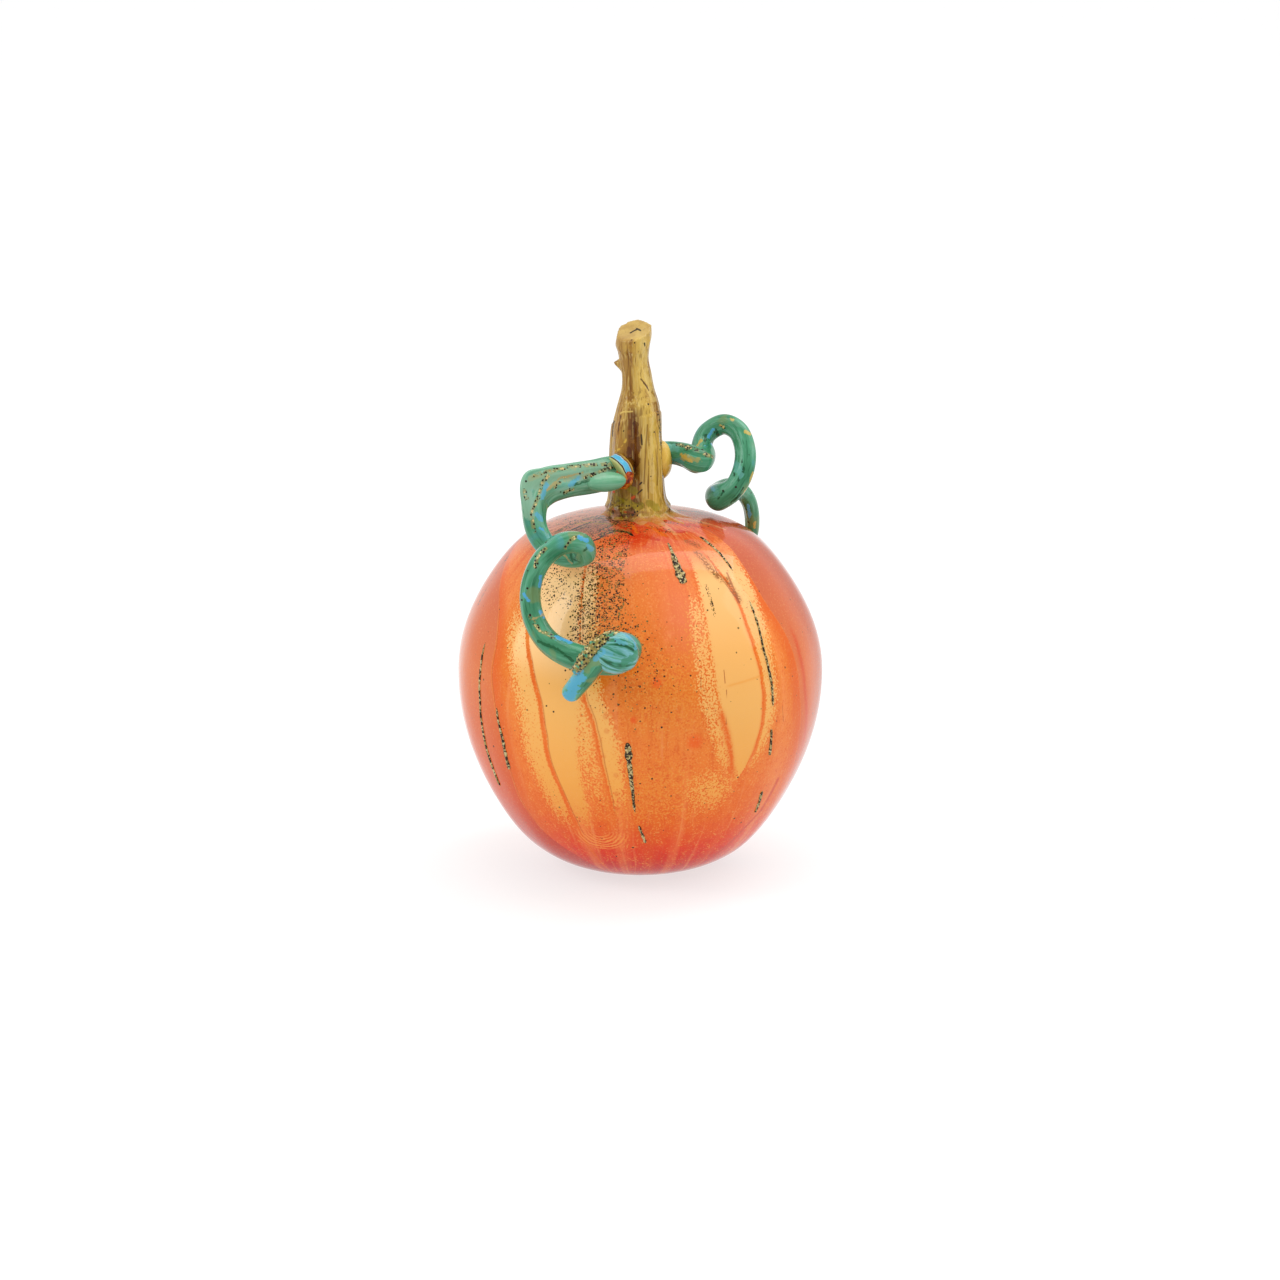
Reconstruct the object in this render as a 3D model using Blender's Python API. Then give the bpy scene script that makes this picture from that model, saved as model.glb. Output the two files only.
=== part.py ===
"""Blown-glass pumpkin: a hollow ribbed body, a pulled stem and two curling tendrils.

The frame is metres with +Z up. The origin is the middle of the flat base, and the front is -Y.
Every piece is a separate solid, and pieces that touch on the real object stay GAP apart.
"""
import math

import bmesh
import bpy
from mathutils import Matrix, Vector

MM = 0.001
GAP = 0.3 * MM              # room between a piece and its neighbour

# Body
BODY_RADIUS = 75.0 * MM     # at the equator
EQUATOR_HEIGHT = 82.6 * MM
CROWN_HEIGHT = 149.2 * MM
BASE_DIP = 1.2 * MM         # how far the round bottom would reach below the flat base
SHOULDER_FULLNESS = 0.449   # how much squarer than an ellipse the upper half is
BOTTOM_FULLNESS = 0.375     # the same for the lower half
WALL = 3.6 * MM
FLOOR_THICKNESS = 6.0 * MM
NECK_RADIUS = 9.0 * MM      # the opening in the crown that the stem closes
OPTIC_RIBS = 16
RIB_DEPTH = 0.6 * MM
BODY_SIDES = 64
OUTER_RINGS = 10            # in each half of the outer surface
INNER_RINGS = 5             # in each half of the inner surface

# Stem
STEM_SIDES = 24
STEM_LOBES = 5
LOBE_DEPTH = 0.06           # of the half width
STEM_TWIST = 22.0           # radians of turn for each metre of height
FOOT_RADIUS = 17.5 * MM     # of the foot spread over the crown
FOOT_EDGE = 0.5 * MM        # thickness at the rim of the foot
FOOT_ROOT = 14.4 * MM       # radius where the foot starts to rise into the shaft
FOOT_RISE = 1.6 * MM        # thickness there
PLUG_DEPTH = 5.0 * MM       # of the plug below the crown
PLUG_ROUNDING = 1.5 * MM
SPUR_HEIGHT = 213.0 * MM    # of the small spur on the left of the stem
SPUR_REACH = 2.6 * MM
SPUR_SPAN = 4.0 * MM
STEM_STATIONS = (           # height, middle in x, half width, all in mm
    (152.6, -1.0, 13.4), (155.0, -1.3, 12.0), (160.0, -1.4, 11.2), (166.0, -1.5, 11.0),
    (173.0, -1.6, 10.8), (180.0, -1.8, 10.1), (186.0, -1.4, 9.7), (193.0, -0.8, 8.6),
    (200.0, -1.0, 6.8), (206.0, -1.7, 6.2), (210.5, -2.3, 6.0), (213.0, -2.7, 5.9),
    (215.5, -3.0, 5.9), (219.0, -2.9, 6.4), (222.5, -2.6, 6.8), (225.5, -1.4, 5.6),
    (227.6, -1.7, 3.0),
)
STEM_TIP = (-2.2, 228.4, 1.2)   # middle in x, height and radius of the tip, in mm

# Tendrils: x, y, z, half width, half thickness, all in mm, from inside the stem to the tip
TENDRIL_SIDES = 12
TENDRIL_STEPS = 2           # rings for each station
TIP_ANGLES = (0.5, 1.0, 1.35)   # radians round the tip for its closing rings
LEFT_TENDRIL = (
    (-3.0, -5.0, 167.5, 5.5, 5.0), (-11.5, -12.0, 167.0, 6.2, 4.8), (-20.0, -18.0, 167.5, 6.6, 4.6),
    (-29.5, -24.0, 167.5, 7.2, 4.3), (-37.0, -29.0, 166.5, 8.0, 4.0), (-42.0, -34.0, 162.5, 7.8, 4.0),
    (-42.5, -39.0, 156.0, 5.8, 4.2), (-40.5, -42.0, 149.0, 4.8, 4.4), (-35.5, -46.0, 143.5, 4.4, 4.4),
    (-28.0, -50.0, 141.5, 4.4, 4.4), (-22.0, -55.0, 144.0, 4.6, 4.6), (-24.0, -61.0, 149.5, 4.5, 4.5),
    (-31.5, -64.0, 149.5, 4.4, 4.4), (-39.0, -66.0, 143.0, 4.2, 4.2), (-43.0, -67.0, 132.5, 4.2, 4.2),
    (-42.0, -70.0, 122.0, 4.4, 4.4), (-36.5, -75.0, 113.5, 4.8, 4.8), (-27.5, -80.0, 109.0, 5.2, 5.2),
    (-17.0, -83.0, 107.0, 5.4, 5.2), (-8.5, -86.0, 108.0, 5.8, 5.2), (-5.0, -91.0, 113.5, 6.2, 5.2),
    (-10.0, -97.0, 116.5, 5.6, 4.8), (-16.0, -98.0, 112.0, 4.8, 4.4), (-21.5, -93.0, 103.5, 4.4, 4.2),
    (-26.5, -88.0, 96.0, 4.0, 3.8),
)
RIGHT_TENDRIL = (
    (5.0, 3.0, 172.5, 4.6, 4.6), (13.0, 5.0, 172.0, 4.6, 4.6), (18.5, 2.0, 171.5, 4.6, 4.6),
    (23.5, -1.0, 170.5, 5.0, 5.0), (26.0, 6.0, 171.0, 4.8, 4.8), (25.5, 12.0, 174.5, 4.4, 4.4),
    (28.0, 15.0, 179.0, 4.2, 4.2), (34.5, 14.0, 182.5, 4.2, 4.2), (40.5, 10.0, 180.0, 4.3, 4.3),
    (43.0, 5.0, 173.0, 4.4, 4.4), (42.0, 1.0, 165.5, 4.5, 4.5), (38.5, -1.0, 159.0, 4.7, 4.7),
    (33.0, 4.0, 154.5, 5.0, 5.0), (32.0, 13.0, 153.5, 4.6, 4.6), (36.5, 22.0, 154.5, 4.0, 4.0),
    (42.0, 29.0, 151.5, 3.6, 3.6), (45.5, 34.0, 145.5, 3.3, 3.3), (47.0, 39.5, 137.0, 3.1, 3.1),
    (46.5, 45.5, 129.0, 3.0, 3.0), (43.5, 52.0, 123.0, 2.9, 2.9), (37.5, 57.0, 121.0, 2.7, 2.7),
    (33.0, 59.0, 124.5, 2.4, 2.4), (35.5, 58.0, 128.5, 2.0, 2.0),
)

# Roots of the tendrils: places and radii in mm. The collar's profile gives a share of its radius
# and the distance out from its centre.
COLLAR_CENTRE = (-10.9, -11.2, 167.3)
COLLAR_NORMAL = (-0.76, -0.64, 0.1)
COLLAR_RADIUS = 7.8 * MM
COLLAR_PROFILE = ((0.78, 1.8), (0.94, 1.3), (1.0, 0.3), (0.92, -2.5), (0.72, -9.0))
COLLAR_SIDES = 28
BEAD_CENTRE = (-7.0, -12.0, 161.0)
BEAD_RADII = (4.6, 4.0, 4.2)
BOSS_CENTRE = (9.6, 2.6, 170.3)
BOSS_RADII = (5.2, 8.0, 8.0)

# Trails of dark glass on the body: azimuth in degrees from the front towards +X and height in
# mm for each point, then the half width in mm at the first and the last point
TRAIL_HEIGHT = 0.9 * MM
TRAIL_STEPS = 9
TRAILS = {
    "trail_front_high": (((17.4, 144.0), (17.0, 138.0), (18.5, 131.0)), 0.7, 2.2),
    "trail_front_low": (((-3.8, 71.7), (-2.9, 57.6), (-1.8, 40.2)), 1.9, 0.6),
    "trail_front_foot": (((-0.4, 33.6), (2.2, 24.9)), 0.7, 1.0),
    "trail_right_long": (((45.3, 121.8), (43.8, 103.0), (44.9, 81.0)), 0.6, 0.9),
    "trail_right_mid": (((44.8, 71.4), (46.1, 59.8)), 0.8, 1.2),
    "trail_right_low": (((48.2, 43.0), (50.0, 32.6)), 1.2, 0.7),
    "trail_left_long": (((-60.7, 102.6), (-59.8, 79.4), (-59.6, 60.2), (-58.8, 42.3)), 0.6, 1.0),
    "trail_left_second": (((-50.4, 79.0), (-48.5, 65.7), (-48.2, 53.0)), 0.6, 1.6),
    "trail_shoulder": (((42.0, 144.5), (43.4, 139.0), (44.3, 133.0)), 0.8, 0.6),
}

# Colours, as linear red, green and blue
AMBER_ORANGE = (0.86, 0.26, 0.08)
STEM_GOLD = (0.42, 0.26, 0.07)
SEA_GREEN = (0.06, 0.30, 0.17)
PALE_BLUE = (0.18, 0.55, 0.72)
RED_GOLD = (0.45, 0.13, 0.03)
YELLOW_GOLD = (0.62, 0.40, 0.09)
DARK_FLECK = (0.06, 0.045, 0.02)


def glass(name, colour, roughness=0.08):
    """A glazed, non-metallic material."""
    material = bpy.data.materials.new(name)
    material.use_nodes = True
    shader = material.node_tree.nodes["Principled BSDF"]
    shader.inputs["Base Color"].default_value = (*colour, 1.0)
    shader.inputs["Roughness"].default_value = roughness
    shader.inputs["Metallic"].default_value = 0.0
    return material


def new_object(name, mesh_data, material):
    """A smooth-shaded object from a bmesh, with its faces pointing out."""
    bmesh.ops.recalc_face_normals(mesh_data, faces=mesh_data.faces)
    mesh = bpy.data.meshes.new(name)
    mesh_data.to_mesh(mesh)
    mesh_data.free()
    mesh.shade_smooth()
    mesh.set_sharp_from_angle(angle=math.radians(40))
    piece = bpy.data.objects.new(name, mesh)
    bpy.context.scene.collection.objects.link(piece)
    mesh.materials.append(material)
    return piece


def bridge(mesh_data, lower, upper):
    """Joins two rings of the same number of vertices with a band of faces."""
    count = len(lower)
    for i in range(count):
        j = (i + 1) % count
        mesh_data.faces.new((lower[i], lower[j], upper[j], upper[i]))


def loft(mesh_data, rings):
    """Skins a row of rings of points and closes both ends."""
    made = [[mesh_data.verts.new(point) for point in ring] for ring in rings]
    for lower, upper in zip(made, made[1:]):
        bridge(mesh_data, lower, upper)
    for ring in (made[0], made[-1]):
        middle = sum((vertex.co for vertex in ring), Vector()) / len(ring)
        centre = mesh_data.verts.new(middle)
        for i, vertex in enumerate(ring):
            mesh_data.faces.new((vertex, ring[(i + 1) % len(ring)], centre))


def ring(radius, height, sides, centre=(0.0, 0.0)):
    """A level ring of points. The radius may be a function of the angle."""
    points = []
    for i in range(sides):
        angle = 2 * math.pi * i / sides
        r = radius(angle) if callable(radius) else radius
        points.append(Vector((centre[0] + r * math.cos(angle), centre[1] + r * math.sin(angle), height)))
    return points


def body_radius(height, inset=0.0, floor=0.0):
    """Radius of the body at a height; inset and floor give the inner surface."""
    if height >= EQUATOR_HEIGHT:
        t = (height - EQUATOR_HEIGHT) / (CROWN_HEIGHT - inset - EQUATOR_HEIGHT)
        fullness = SHOULDER_FULLNESS
    else:
        t = (EQUATOR_HEIGHT - height) / (EQUATOR_HEIGHT + BASE_DIP - floor)
        fullness = BOTTOM_FULLNESS
    t = min(t, 1.0)
    return (BODY_RADIUS - inset) * math.sqrt(1 - t * t) * (1 + fullness * t ** 6)


def crown_height(radius, inset=0.0):
    """Height of the crown at a distance from the axis."""
    low, high = EQUATOR_HEIGHT, CROWN_HEIGHT - inset
    for _ in range(40):
        middle = (low + high) / 2
        if body_radius(middle, inset) > radius:
            low = middle
        else:
            high = middle
    return low


def heights(lowest, highest, rings):
    """Heights that crowd towards both poles, so that the profile's points are evenly spaced."""
    low = math.asin((EQUATOR_HEIGHT - lowest) / (EQUATOR_HEIGHT + BASE_DIP))
    high = math.asin((highest - EQUATOR_HEIGHT) / (CROWN_HEIGHT - EQUATOR_HEIGHT))
    below = [EQUATOR_HEIGHT - (EQUATOR_HEIGHT + BASE_DIP) * math.sin(low * (1 - i / rings))
             for i in range(rings)]
    above = [EQUATOR_HEIGHT + (CROWN_HEIGHT - EQUATOR_HEIGHT) * math.sin(high * i / rings)
             for i in range(rings + 1)]
    return below + above


def make_body(material):
    """The hollow body: smooth outside, ribbed inside, open at the neck."""
    def ribbed(radius):
        return lambda angle: radius - RIB_DEPTH * (0.5 + 0.5 * math.cos(OPTIC_RIBS * angle))

    outer = [ring(body_radius(z), z, BODY_SIDES)
             for z in heights(0.0, crown_height(NECK_RADIUS), OUTER_RINGS)]
    inner_top = crown_height(NECK_RADIUS, WALL)
    inner = [ring(ribbed(body_radius(z, WALL, FLOOR_THICKNESS)), z, BODY_SIDES)
             for z in heights(FLOOR_THICKNESS, inner_top, INNER_RINGS)[:-1]]
    inner.append(ring(NECK_RADIUS, inner_top, BODY_SIDES))
    mesh_data = bmesh.new()
    loft(mesh_data, outer + inner[::-1])
    return new_object("body_shell", mesh_data, material)


def stem_ring(station):
    """One lobed, slightly turned cross-section of the stem, with the spur where it is."""
    height, middle, half_width = (value * MM for value in station)

    def radius(angle):
        lobes = 1 + LOBE_DEPTH * (math.cos(STEM_LOBES * angle + STEM_TWIST * height) - 0.4)
        side = max(0.0, -math.cos(angle)) ** 24
        near = max(0.0, 1 - abs(height - SPUR_HEIGHT) / SPUR_SPAN)
        return half_width * lobes + SPUR_REACH * side * near

    return ring(radius, height, STEM_SIDES, (middle, 0.0))


def make_stem(material):
    """The stem, with a foot that follows the crown and a plug that closes the neck."""
    plug = NECK_RADIUS - GAP
    bottom = crown_height(plug) - PLUG_DEPTH
    under = [ring(plug * 0.6, bottom - PLUG_ROUNDING, STEM_SIDES), ring(plug, bottom, STEM_SIDES)]
    under += [ring(r, crown_height(r) + GAP, STEM_SIDES) for r in (plug, FOOT_ROOT, FOOT_RADIUS)]
    over = [ring(FOOT_RADIUS, crown_height(FOOT_RADIUS) + GAP + FOOT_EDGE, STEM_SIDES)]
    over.append(ring(FOOT_ROOT, crown_height(FOOT_ROOT) + GAP + FOOT_RISE, STEM_SIDES, (-0.4 * MM, 0.0)))
    shaft = [stem_ring(station) for station in STEM_STATIONS]
    tip_middle, tip_height, tip_radius = (value * MM for value in STEM_TIP)
    tip = [ring(tip_radius, tip_height, STEM_SIDES, (tip_middle, 0.0))]
    mesh_data = bmesh.new()
    loft(mesh_data, under + over + shaft + tip)
    return new_object("stem", mesh_data, material)


def smooth_stations(stations, steps):
    """A Catmull-Rom curve through the stations, in metres."""
    rows = [[value * MM for value in station] for station in stations]
    first = [2 * a - b for a, b in zip(rows[0], rows[1])]
    last = [2 * a - b for a, b in zip(rows[-1], rows[-2])]
    rows = [first, *rows, last]
    smooth = []
    for p0, p1, p2, p3 in zip(rows, rows[1:], rows[2:], rows[3:]):
        for step in range(steps):
            t = step / steps
            smooth.append([0.5 * (2 * b + (c - a) * t + (2 * a - 5 * b + 4 * c - d) * t ** 2
                                  + (3 * b - a - 3 * c + d) * t ** 3)
                           for a, b, c, d in zip(p0, p1, p2, p3)])
    smooth.append(rows[-2])
    return smooth


def sweep_rings(stations, steps, sides):
    """Elliptical cross-sections along a tendril, carried along without turning, and a round tip."""
    rows = smooth_stations(stations, steps)
    points = [Vector(row[:3]) for row in rows]
    tangents = [(b - a).normalized() for a, b in zip(points[:1] + points, points[1:] + points[-1:])]
    wide = (Vector((0, 0, 1)) - tangents[0] * tangents[0].z).normalized()
    sections = []
    for i, (row, point) in enumerate(zip(rows, points)):
        if i:
            wide = tangents[i - 1].rotation_difference(tangents[i]) @ wide
            wide = (wide - tangents[i] * wide.dot(tangents[i])).normalized()
        sections.append((point, tangents[i], wide, row[3], row[4]))
    point, tangent, wide, width, thick = sections[-1]
    for angle in TIP_ANGLES:
        shrink = math.cos(angle)
        sections.append((point + tangent * thick * math.sin(angle), tangent, wide,
                         width * shrink, thick * shrink))
    rings = []
    for point, tangent, wide, width, thick in sections:
        flat = tangent.cross(wide)
        rings.append([point + wide * width * math.cos(a) + flat * thick * math.sin(a)
                      for a in (2 * math.pi * i / sides for i in range(sides))])
    return rings


def make_tendril(name, stations, material):
    """A pulled and curled tendril whose root ends inside the stem."""
    mesh_data = bmesh.new()
    loft(mesh_data, sweep_rings(stations, TENDRIL_STEPS, TENDRIL_SIDES))
    return new_object(name, mesh_data, material)


def ellipsoid(name, centre, radii, material):
    """A blob of glass with unequal radii."""
    mesh_data = bmesh.new()
    place = Matrix.Translation(Vector(centre) * MM) @ Matrix.Diagonal((*(r * MM for r in radii), 1.0))
    bmesh.ops.create_uvsphere(mesh_data, u_segments=20, v_segments=12, radius=1.0, matrix=place)
    return new_object(name, mesh_data, material)


def make_collar(material):
    """The wrap around the left tendril's root, a drum that reaches into the stem's space."""
    normal = Vector(COLLAR_NORMAL).normalized()
    turn = normal.to_track_quat("Z", "Y").to_matrix().to_4x4()
    place = Matrix.Translation(Vector(COLLAR_CENTRE) * MM) @ turn
    rings = [[place @ point for point in ring(COLLAR_RADIUS * share, along * MM, COLLAR_SIDES)]
             for share, along in COLLAR_PROFILE]
    mesh_data = bmesh.new()
    loft(mesh_data, rings)
    return new_object("left_collar", mesh_data, material)


def make_cutter(piece, growth=GAP):
    """A hidden copy of a piece, grown by the gap, that cuts its neighbours."""
    cutter = piece.copy()
    cutter.data = piece.data.copy()
    cutter.name = "cutter_" + piece.name
    normals = [vertex.normal.copy() for vertex in cutter.data.vertices]
    for vertex, normal in zip(cutter.data.vertices, normals):
        vertex.co += normal * growth
    cutter.hide_render = True
    cutter.display_type = "WIRE"
    bpy.context.scene.collection.objects.link(cutter)
    return cutter


def cut(piece, cutter):
    """Takes the cutter's space out of the piece."""
    modifier = piece.modifiers.new("clear_" + cutter.name, "BOOLEAN")
    modifier.operation = "DIFFERENCE"
    modifier.solver = "EXACT"
    modifier.object = cutter


def surface_point(azimuth, height):
    """A point on the body and the direction out of it; azimuth 0 is the front."""
    step = 0.2 * MM
    radius = body_radius(height)
    slope = (body_radius(height - step) - body_radius(height + step)) / (2 * step)
    out = Vector((math.sin(azimuth), -math.cos(azimuth), 0))
    return out * radius + Vector((0, 0, height)), (out + Vector((0, 0, slope))).normalized()


def make_trail(name, route, start_width, end_width, material):
    """A thin thread of glass that follows the body, domed across and rounded at both ends."""
    rings = []
    spans = len(route) - 1
    samples = []
    for i in range(TRAIL_STEPS + 1):
        part = i / TRAIL_STEPS
        span = min(int(part * spans), spans - 1)
        t = part * spans - span
        azimuth, height = (a + (b - a) * t for a, b in zip(route[span], route[span + 1]))
        point, out = surface_point(math.radians(azimuth), height * MM)
        width = (start_width + (end_width - start_width) * part) * MM
        samples.append((point, out, width * (0.45 if i in (0, TRAIL_STEPS) else 1.0)))
    for i, (point, out, width) in enumerate(samples):
        along = samples[min(i + 1, TRAIL_STEPS)][0] - samples[max(i - 1, 0)][0]
        across = along.cross(out).normalized()
        foot = point + out * GAP
        rise = TRAIL_HEIGHT * (0.55 if i in (0, TRAIL_STEPS) else 1.0)
        rings.append([foot + across * width, foot + across * width * 0.6 + out * rise * 0.8,
                      foot + out * rise, foot - across * width * 0.6 + out * rise * 0.8,
                      foot - across * width, foot + out * 0.05 * MM])
    mesh_data = bmesh.new()
    loft(mesh_data, rings)
    return new_object(name, mesh_data, material)


def main():
    for old in list(bpy.data.objects):
        bpy.data.objects.remove(old, do_unlink=True)

    make_body(glass("amber_orange_glass", AMBER_ORANGE, 0.05))
    stem = make_stem(glass("stem_gold_glass", STEM_GOLD, 0.2))
    green = glass("sea_green_glass", SEA_GREEN)
    left = make_tendril("left_tendril", LEFT_TENDRIL, green)
    right = make_tendril("right_tendril", RIGHT_TENDRIL, green)
    collar = make_collar(glass("pale_blue_glass", PALE_BLUE))
    bead = ellipsoid("left_bead", BEAD_CENTRE, BEAD_RADII, glass("red_gold_glass", RED_GOLD))
    boss = ellipsoid("right_boss", BOSS_CENTRE, BOSS_RADII, glass("yellow_gold_glass", YELLOW_GOLD))

    stem_space = make_cutter(stem)
    left_space = make_cutter(left)
    right_space = make_cutter(right)
    collar_space = make_cutter(collar)
    for piece in (left, right, collar, bead, boss):
        cut(piece, stem_space)
    cut(collar, left_space)
    cut(bead, left_space)
    cut(bead, collar_space)
    cut(boss, right_space)

    dark = glass("dark_fleck_glass", DARK_FLECK, 0.3)
    for name, (route, start_width, end_width) in TRAILS.items():
        make_trail(name, route, start_width, end_width, dark)


main()
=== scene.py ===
"""Looks of the blown-glass pumpkin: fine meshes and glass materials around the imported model."""

import math

import bpy
from mathutils import Matrix, Vector, noise


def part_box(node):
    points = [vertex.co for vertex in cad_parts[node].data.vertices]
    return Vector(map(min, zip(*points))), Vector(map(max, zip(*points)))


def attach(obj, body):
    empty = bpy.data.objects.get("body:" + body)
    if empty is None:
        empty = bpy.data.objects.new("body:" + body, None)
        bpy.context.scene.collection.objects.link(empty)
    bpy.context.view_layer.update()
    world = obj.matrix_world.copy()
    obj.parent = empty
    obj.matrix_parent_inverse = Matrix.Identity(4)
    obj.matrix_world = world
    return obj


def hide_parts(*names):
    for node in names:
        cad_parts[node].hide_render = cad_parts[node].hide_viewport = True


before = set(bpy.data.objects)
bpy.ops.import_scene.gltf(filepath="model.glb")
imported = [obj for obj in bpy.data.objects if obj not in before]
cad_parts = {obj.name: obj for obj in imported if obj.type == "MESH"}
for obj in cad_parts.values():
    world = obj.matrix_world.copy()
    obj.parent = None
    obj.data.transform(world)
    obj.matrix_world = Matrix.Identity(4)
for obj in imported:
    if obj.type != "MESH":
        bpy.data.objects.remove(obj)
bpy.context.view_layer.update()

MM = 0.001
TAU = 2 * math.pi

# Body, in metres from the frame where the frame knows it
BODY_LOW, BODY_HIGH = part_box("body_shell")
BODY_RADIUS = (BODY_HIGH.x - BODY_LOW.x) / 2
CROWN_HEIGHT = 149.2 * MM
EQUATOR_HEIGHT = 82.6 * MM
BASE_DIP = 1.2 * MM
SHOULDER_FULLNESS = 0.449
BOTTOM_FULLNESS = 0.375
WALL = 3.6 * MM
FLOOR_THICKNESS = 6.0 * MM
NECK_RADIUS = 9.0 * MM
OPTIC_RIBS = 16
INNER_RIB_DEPTH = 0.6 * MM
BODY_SIDES, BODY_RINGS, INNER_RINGS = 256, 64, 12

# Stem: height, middle in x and half width, in mm
STEM_STATIONS = (
    (151.6, -1, 12.9), (154.5, -1.3, 11.6), (160, -1.4, 11), (166, -1.5, 10.8), (173, -1.6, 10.6),
    (180, -1.8, 10), (186, -1.5, 9.6), (193, -0.9, 8.5), (200, -1, 6.6), (206, -1.6, 5.9),
    (213, -2.6, 5.7), (219, -2.7, 6.3), (224, -2.8, 7.3), (229, -2.6, 7.1),
)

STEM_SIDES = 128
PLUG_RADIUS = NECK_RADIUS - 0.3 * MM
SHAFT_FOOT_RADIUS = 12.9 * MM
SHEAR_START = 205 * MM      # above this the shaft leans over into its sloping cut
SLEEVE_HEIGHT = 188.5       # where the thicker sleeve ends, in mm
SPUR_HEIGHT = 213.4         # the snag on the left, in mm

# Tendrils: x, y, z, half width and half thickness in mm, close to the model's own routes
LEFT_TENDRIL = (
    (-3, -5, 168.5, 3.6, 3.4), (-11.5, -12, 168, 6.4, 4.4), (-20, -18, 167.2, 6.7, 4.6),
    (-29.5, -24, 166.9, 6.8, 4.3), (-37, -29, 165.9, 7.5, 4), (-42, -34, 162.3, 7.8, 4),
    (-42.5, -39, 156, 5.8, 4.2), (-40.5, -42, 149, 4.8, 4.4), (-35.5, -46, 143.5, 4.4, 4.4),
    (-28, -50, 141.5, 4.4, 4.4), (-22, -55, 144, 4.6, 4.6), (-24, -61, 149.5, 4.5, 4.5),
    (-31.5, -64, 149.5, 4.4, 4.4), (-39, -66, 143, 4.2, 4.2), (-43, -67, 132.5, 4.2, 4.2),
    (-42, -70, 122, 4.4, 4.4), (-36.5, -75, 113.5, 4.8, 4.8), (-27.5, -80, 109, 5.2, 5.2),
    (-17, -83, 107, 5.4, 5.2), (-8.5, -86, 108, 5.8, 5.2), (-5, -91, 113.5, 6.2, 5.2),
    (-10, -97, 116.5, 5.6, 4.8), (-16, -98, 112, 4.8, 4.4), (-21.5, -93, 103.5, 4.4, 4.2),
    (-26.5, -88, 96, 4, 3.8),
)
RIGHT_TENDRIL = (
    (5, 3, 172.7, 4.6, 4.6), (13, 5, 172.5, 4.7, 4.6), (18.5, 2, 172, 5.1, 4.8),
    (23.5, -1, 170.5, 5.6, 5.4), (26, 6, 171, 5.1, 5), (25.5, 12, 174.5, 4.4, 4.4),
    (28, 15, 179, 4.2, 4.2), (34.5, 14, 182.5, 4.2, 4.2), (40.5, 10, 180, 4.3, 4.3),
    (43, 5, 173, 4.4, 4.4), (42, 1, 165.5, 4.5, 4.5), (38.5, -1, 159, 4.7, 4.7),
    (33, 4, 154.3, 5.6, 5.6), (32, 13, 153.5, 4.8, 4.8), (36.5, 22, 154.5, 4, 4),
    (42, 29, 151.5, 3.6, 3.6), (45.5, 34, 145.5, 3.3, 3.3), (47, 39.5, 137, 3.1, 3.1),
    (46.5, 45.5, 129, 3, 3), (43.5, 52, 123, 2.9, 2.9), (37.5, 57, 121, 2.7, 2.7),
    (33, 59, 124.5, 2.4, 2.4), (35.5, 58, 128.5, 2, 2),
)

ROLL_CENTRE = (-13.8, -20.0, 165.5)    # the strap's lower roll, in mm
ROLL_AXIS = Vector((-0.93, -0.36, -0.02))
ROLL_RADII = (5.0, 4.0, 8.6)
BLADE_CENTRE = (-9.6, -96.6, 114.2)    # the paddle's flat blade
BLADE_AXIS = Vector((-0.86, -0.25, 0.30))
BLADE_RADII = (7.4, 8.4, 9.6)
TENDRIL_STEPS, TENDRIL_SIDES = 10, 48
RIDGE_STEPS, RIDGE_SIDES = 8, 20
CAP_RINGS = 8              # rings of a tendril's round end
# The ridge of crushed glass over the paddle: x, y, z and half widths in mm
RIDGE = (
    (-8.5, -97, 121.8, 1.5, 1.4), (-13.5, -100.3, 120.6, 2.1, 1.9), (-18, -101, 117, 2.5, 2.2),
    (-21.3, -99.2, 112, 2.8, 2.4), (-24.3, -95.7, 107, 2.3, 2),
)
COLLAR_SIDES = 64
COLLAR_CENTRE = (-8.6, -11.8, 169.2)
COLLAR_AXIS = Vector((-0.74, -0.54, -0.40))
# Place along the collar's axis and radius, in mm, from inside the stem out to the strap
COLLAR_PROFILE = (
    (-6.6, 2.4), (-4.8, 3.2), (-3.6, 4.3), (-3, 5.6), (-2.3, 6), (-1.6, 5.6), (-0.8, 5.8), (1, 6.2),
    (1.4, 6), (1.8, 6.5), (2.3, 6.3), (2.6, 5.4),
)

# The red drop under the collar and the yellow pad at the right tendril's root: centre, radii in mm
BEAD = ((-6.6, -13.8, 166.0), (3.9, 4.4, 4.9))
BOSS = ((8.6, 2.6, 170.0), (4.6, 7.4, 8.0))

# Where the flow attribute starts on the parts drawn over the left tendril, whose own runs from 0 to 10
ROLL_ZONE, BLADE_ZONE, RIDGE_ZONE = 14.0, 12.0, 20.0

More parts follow.
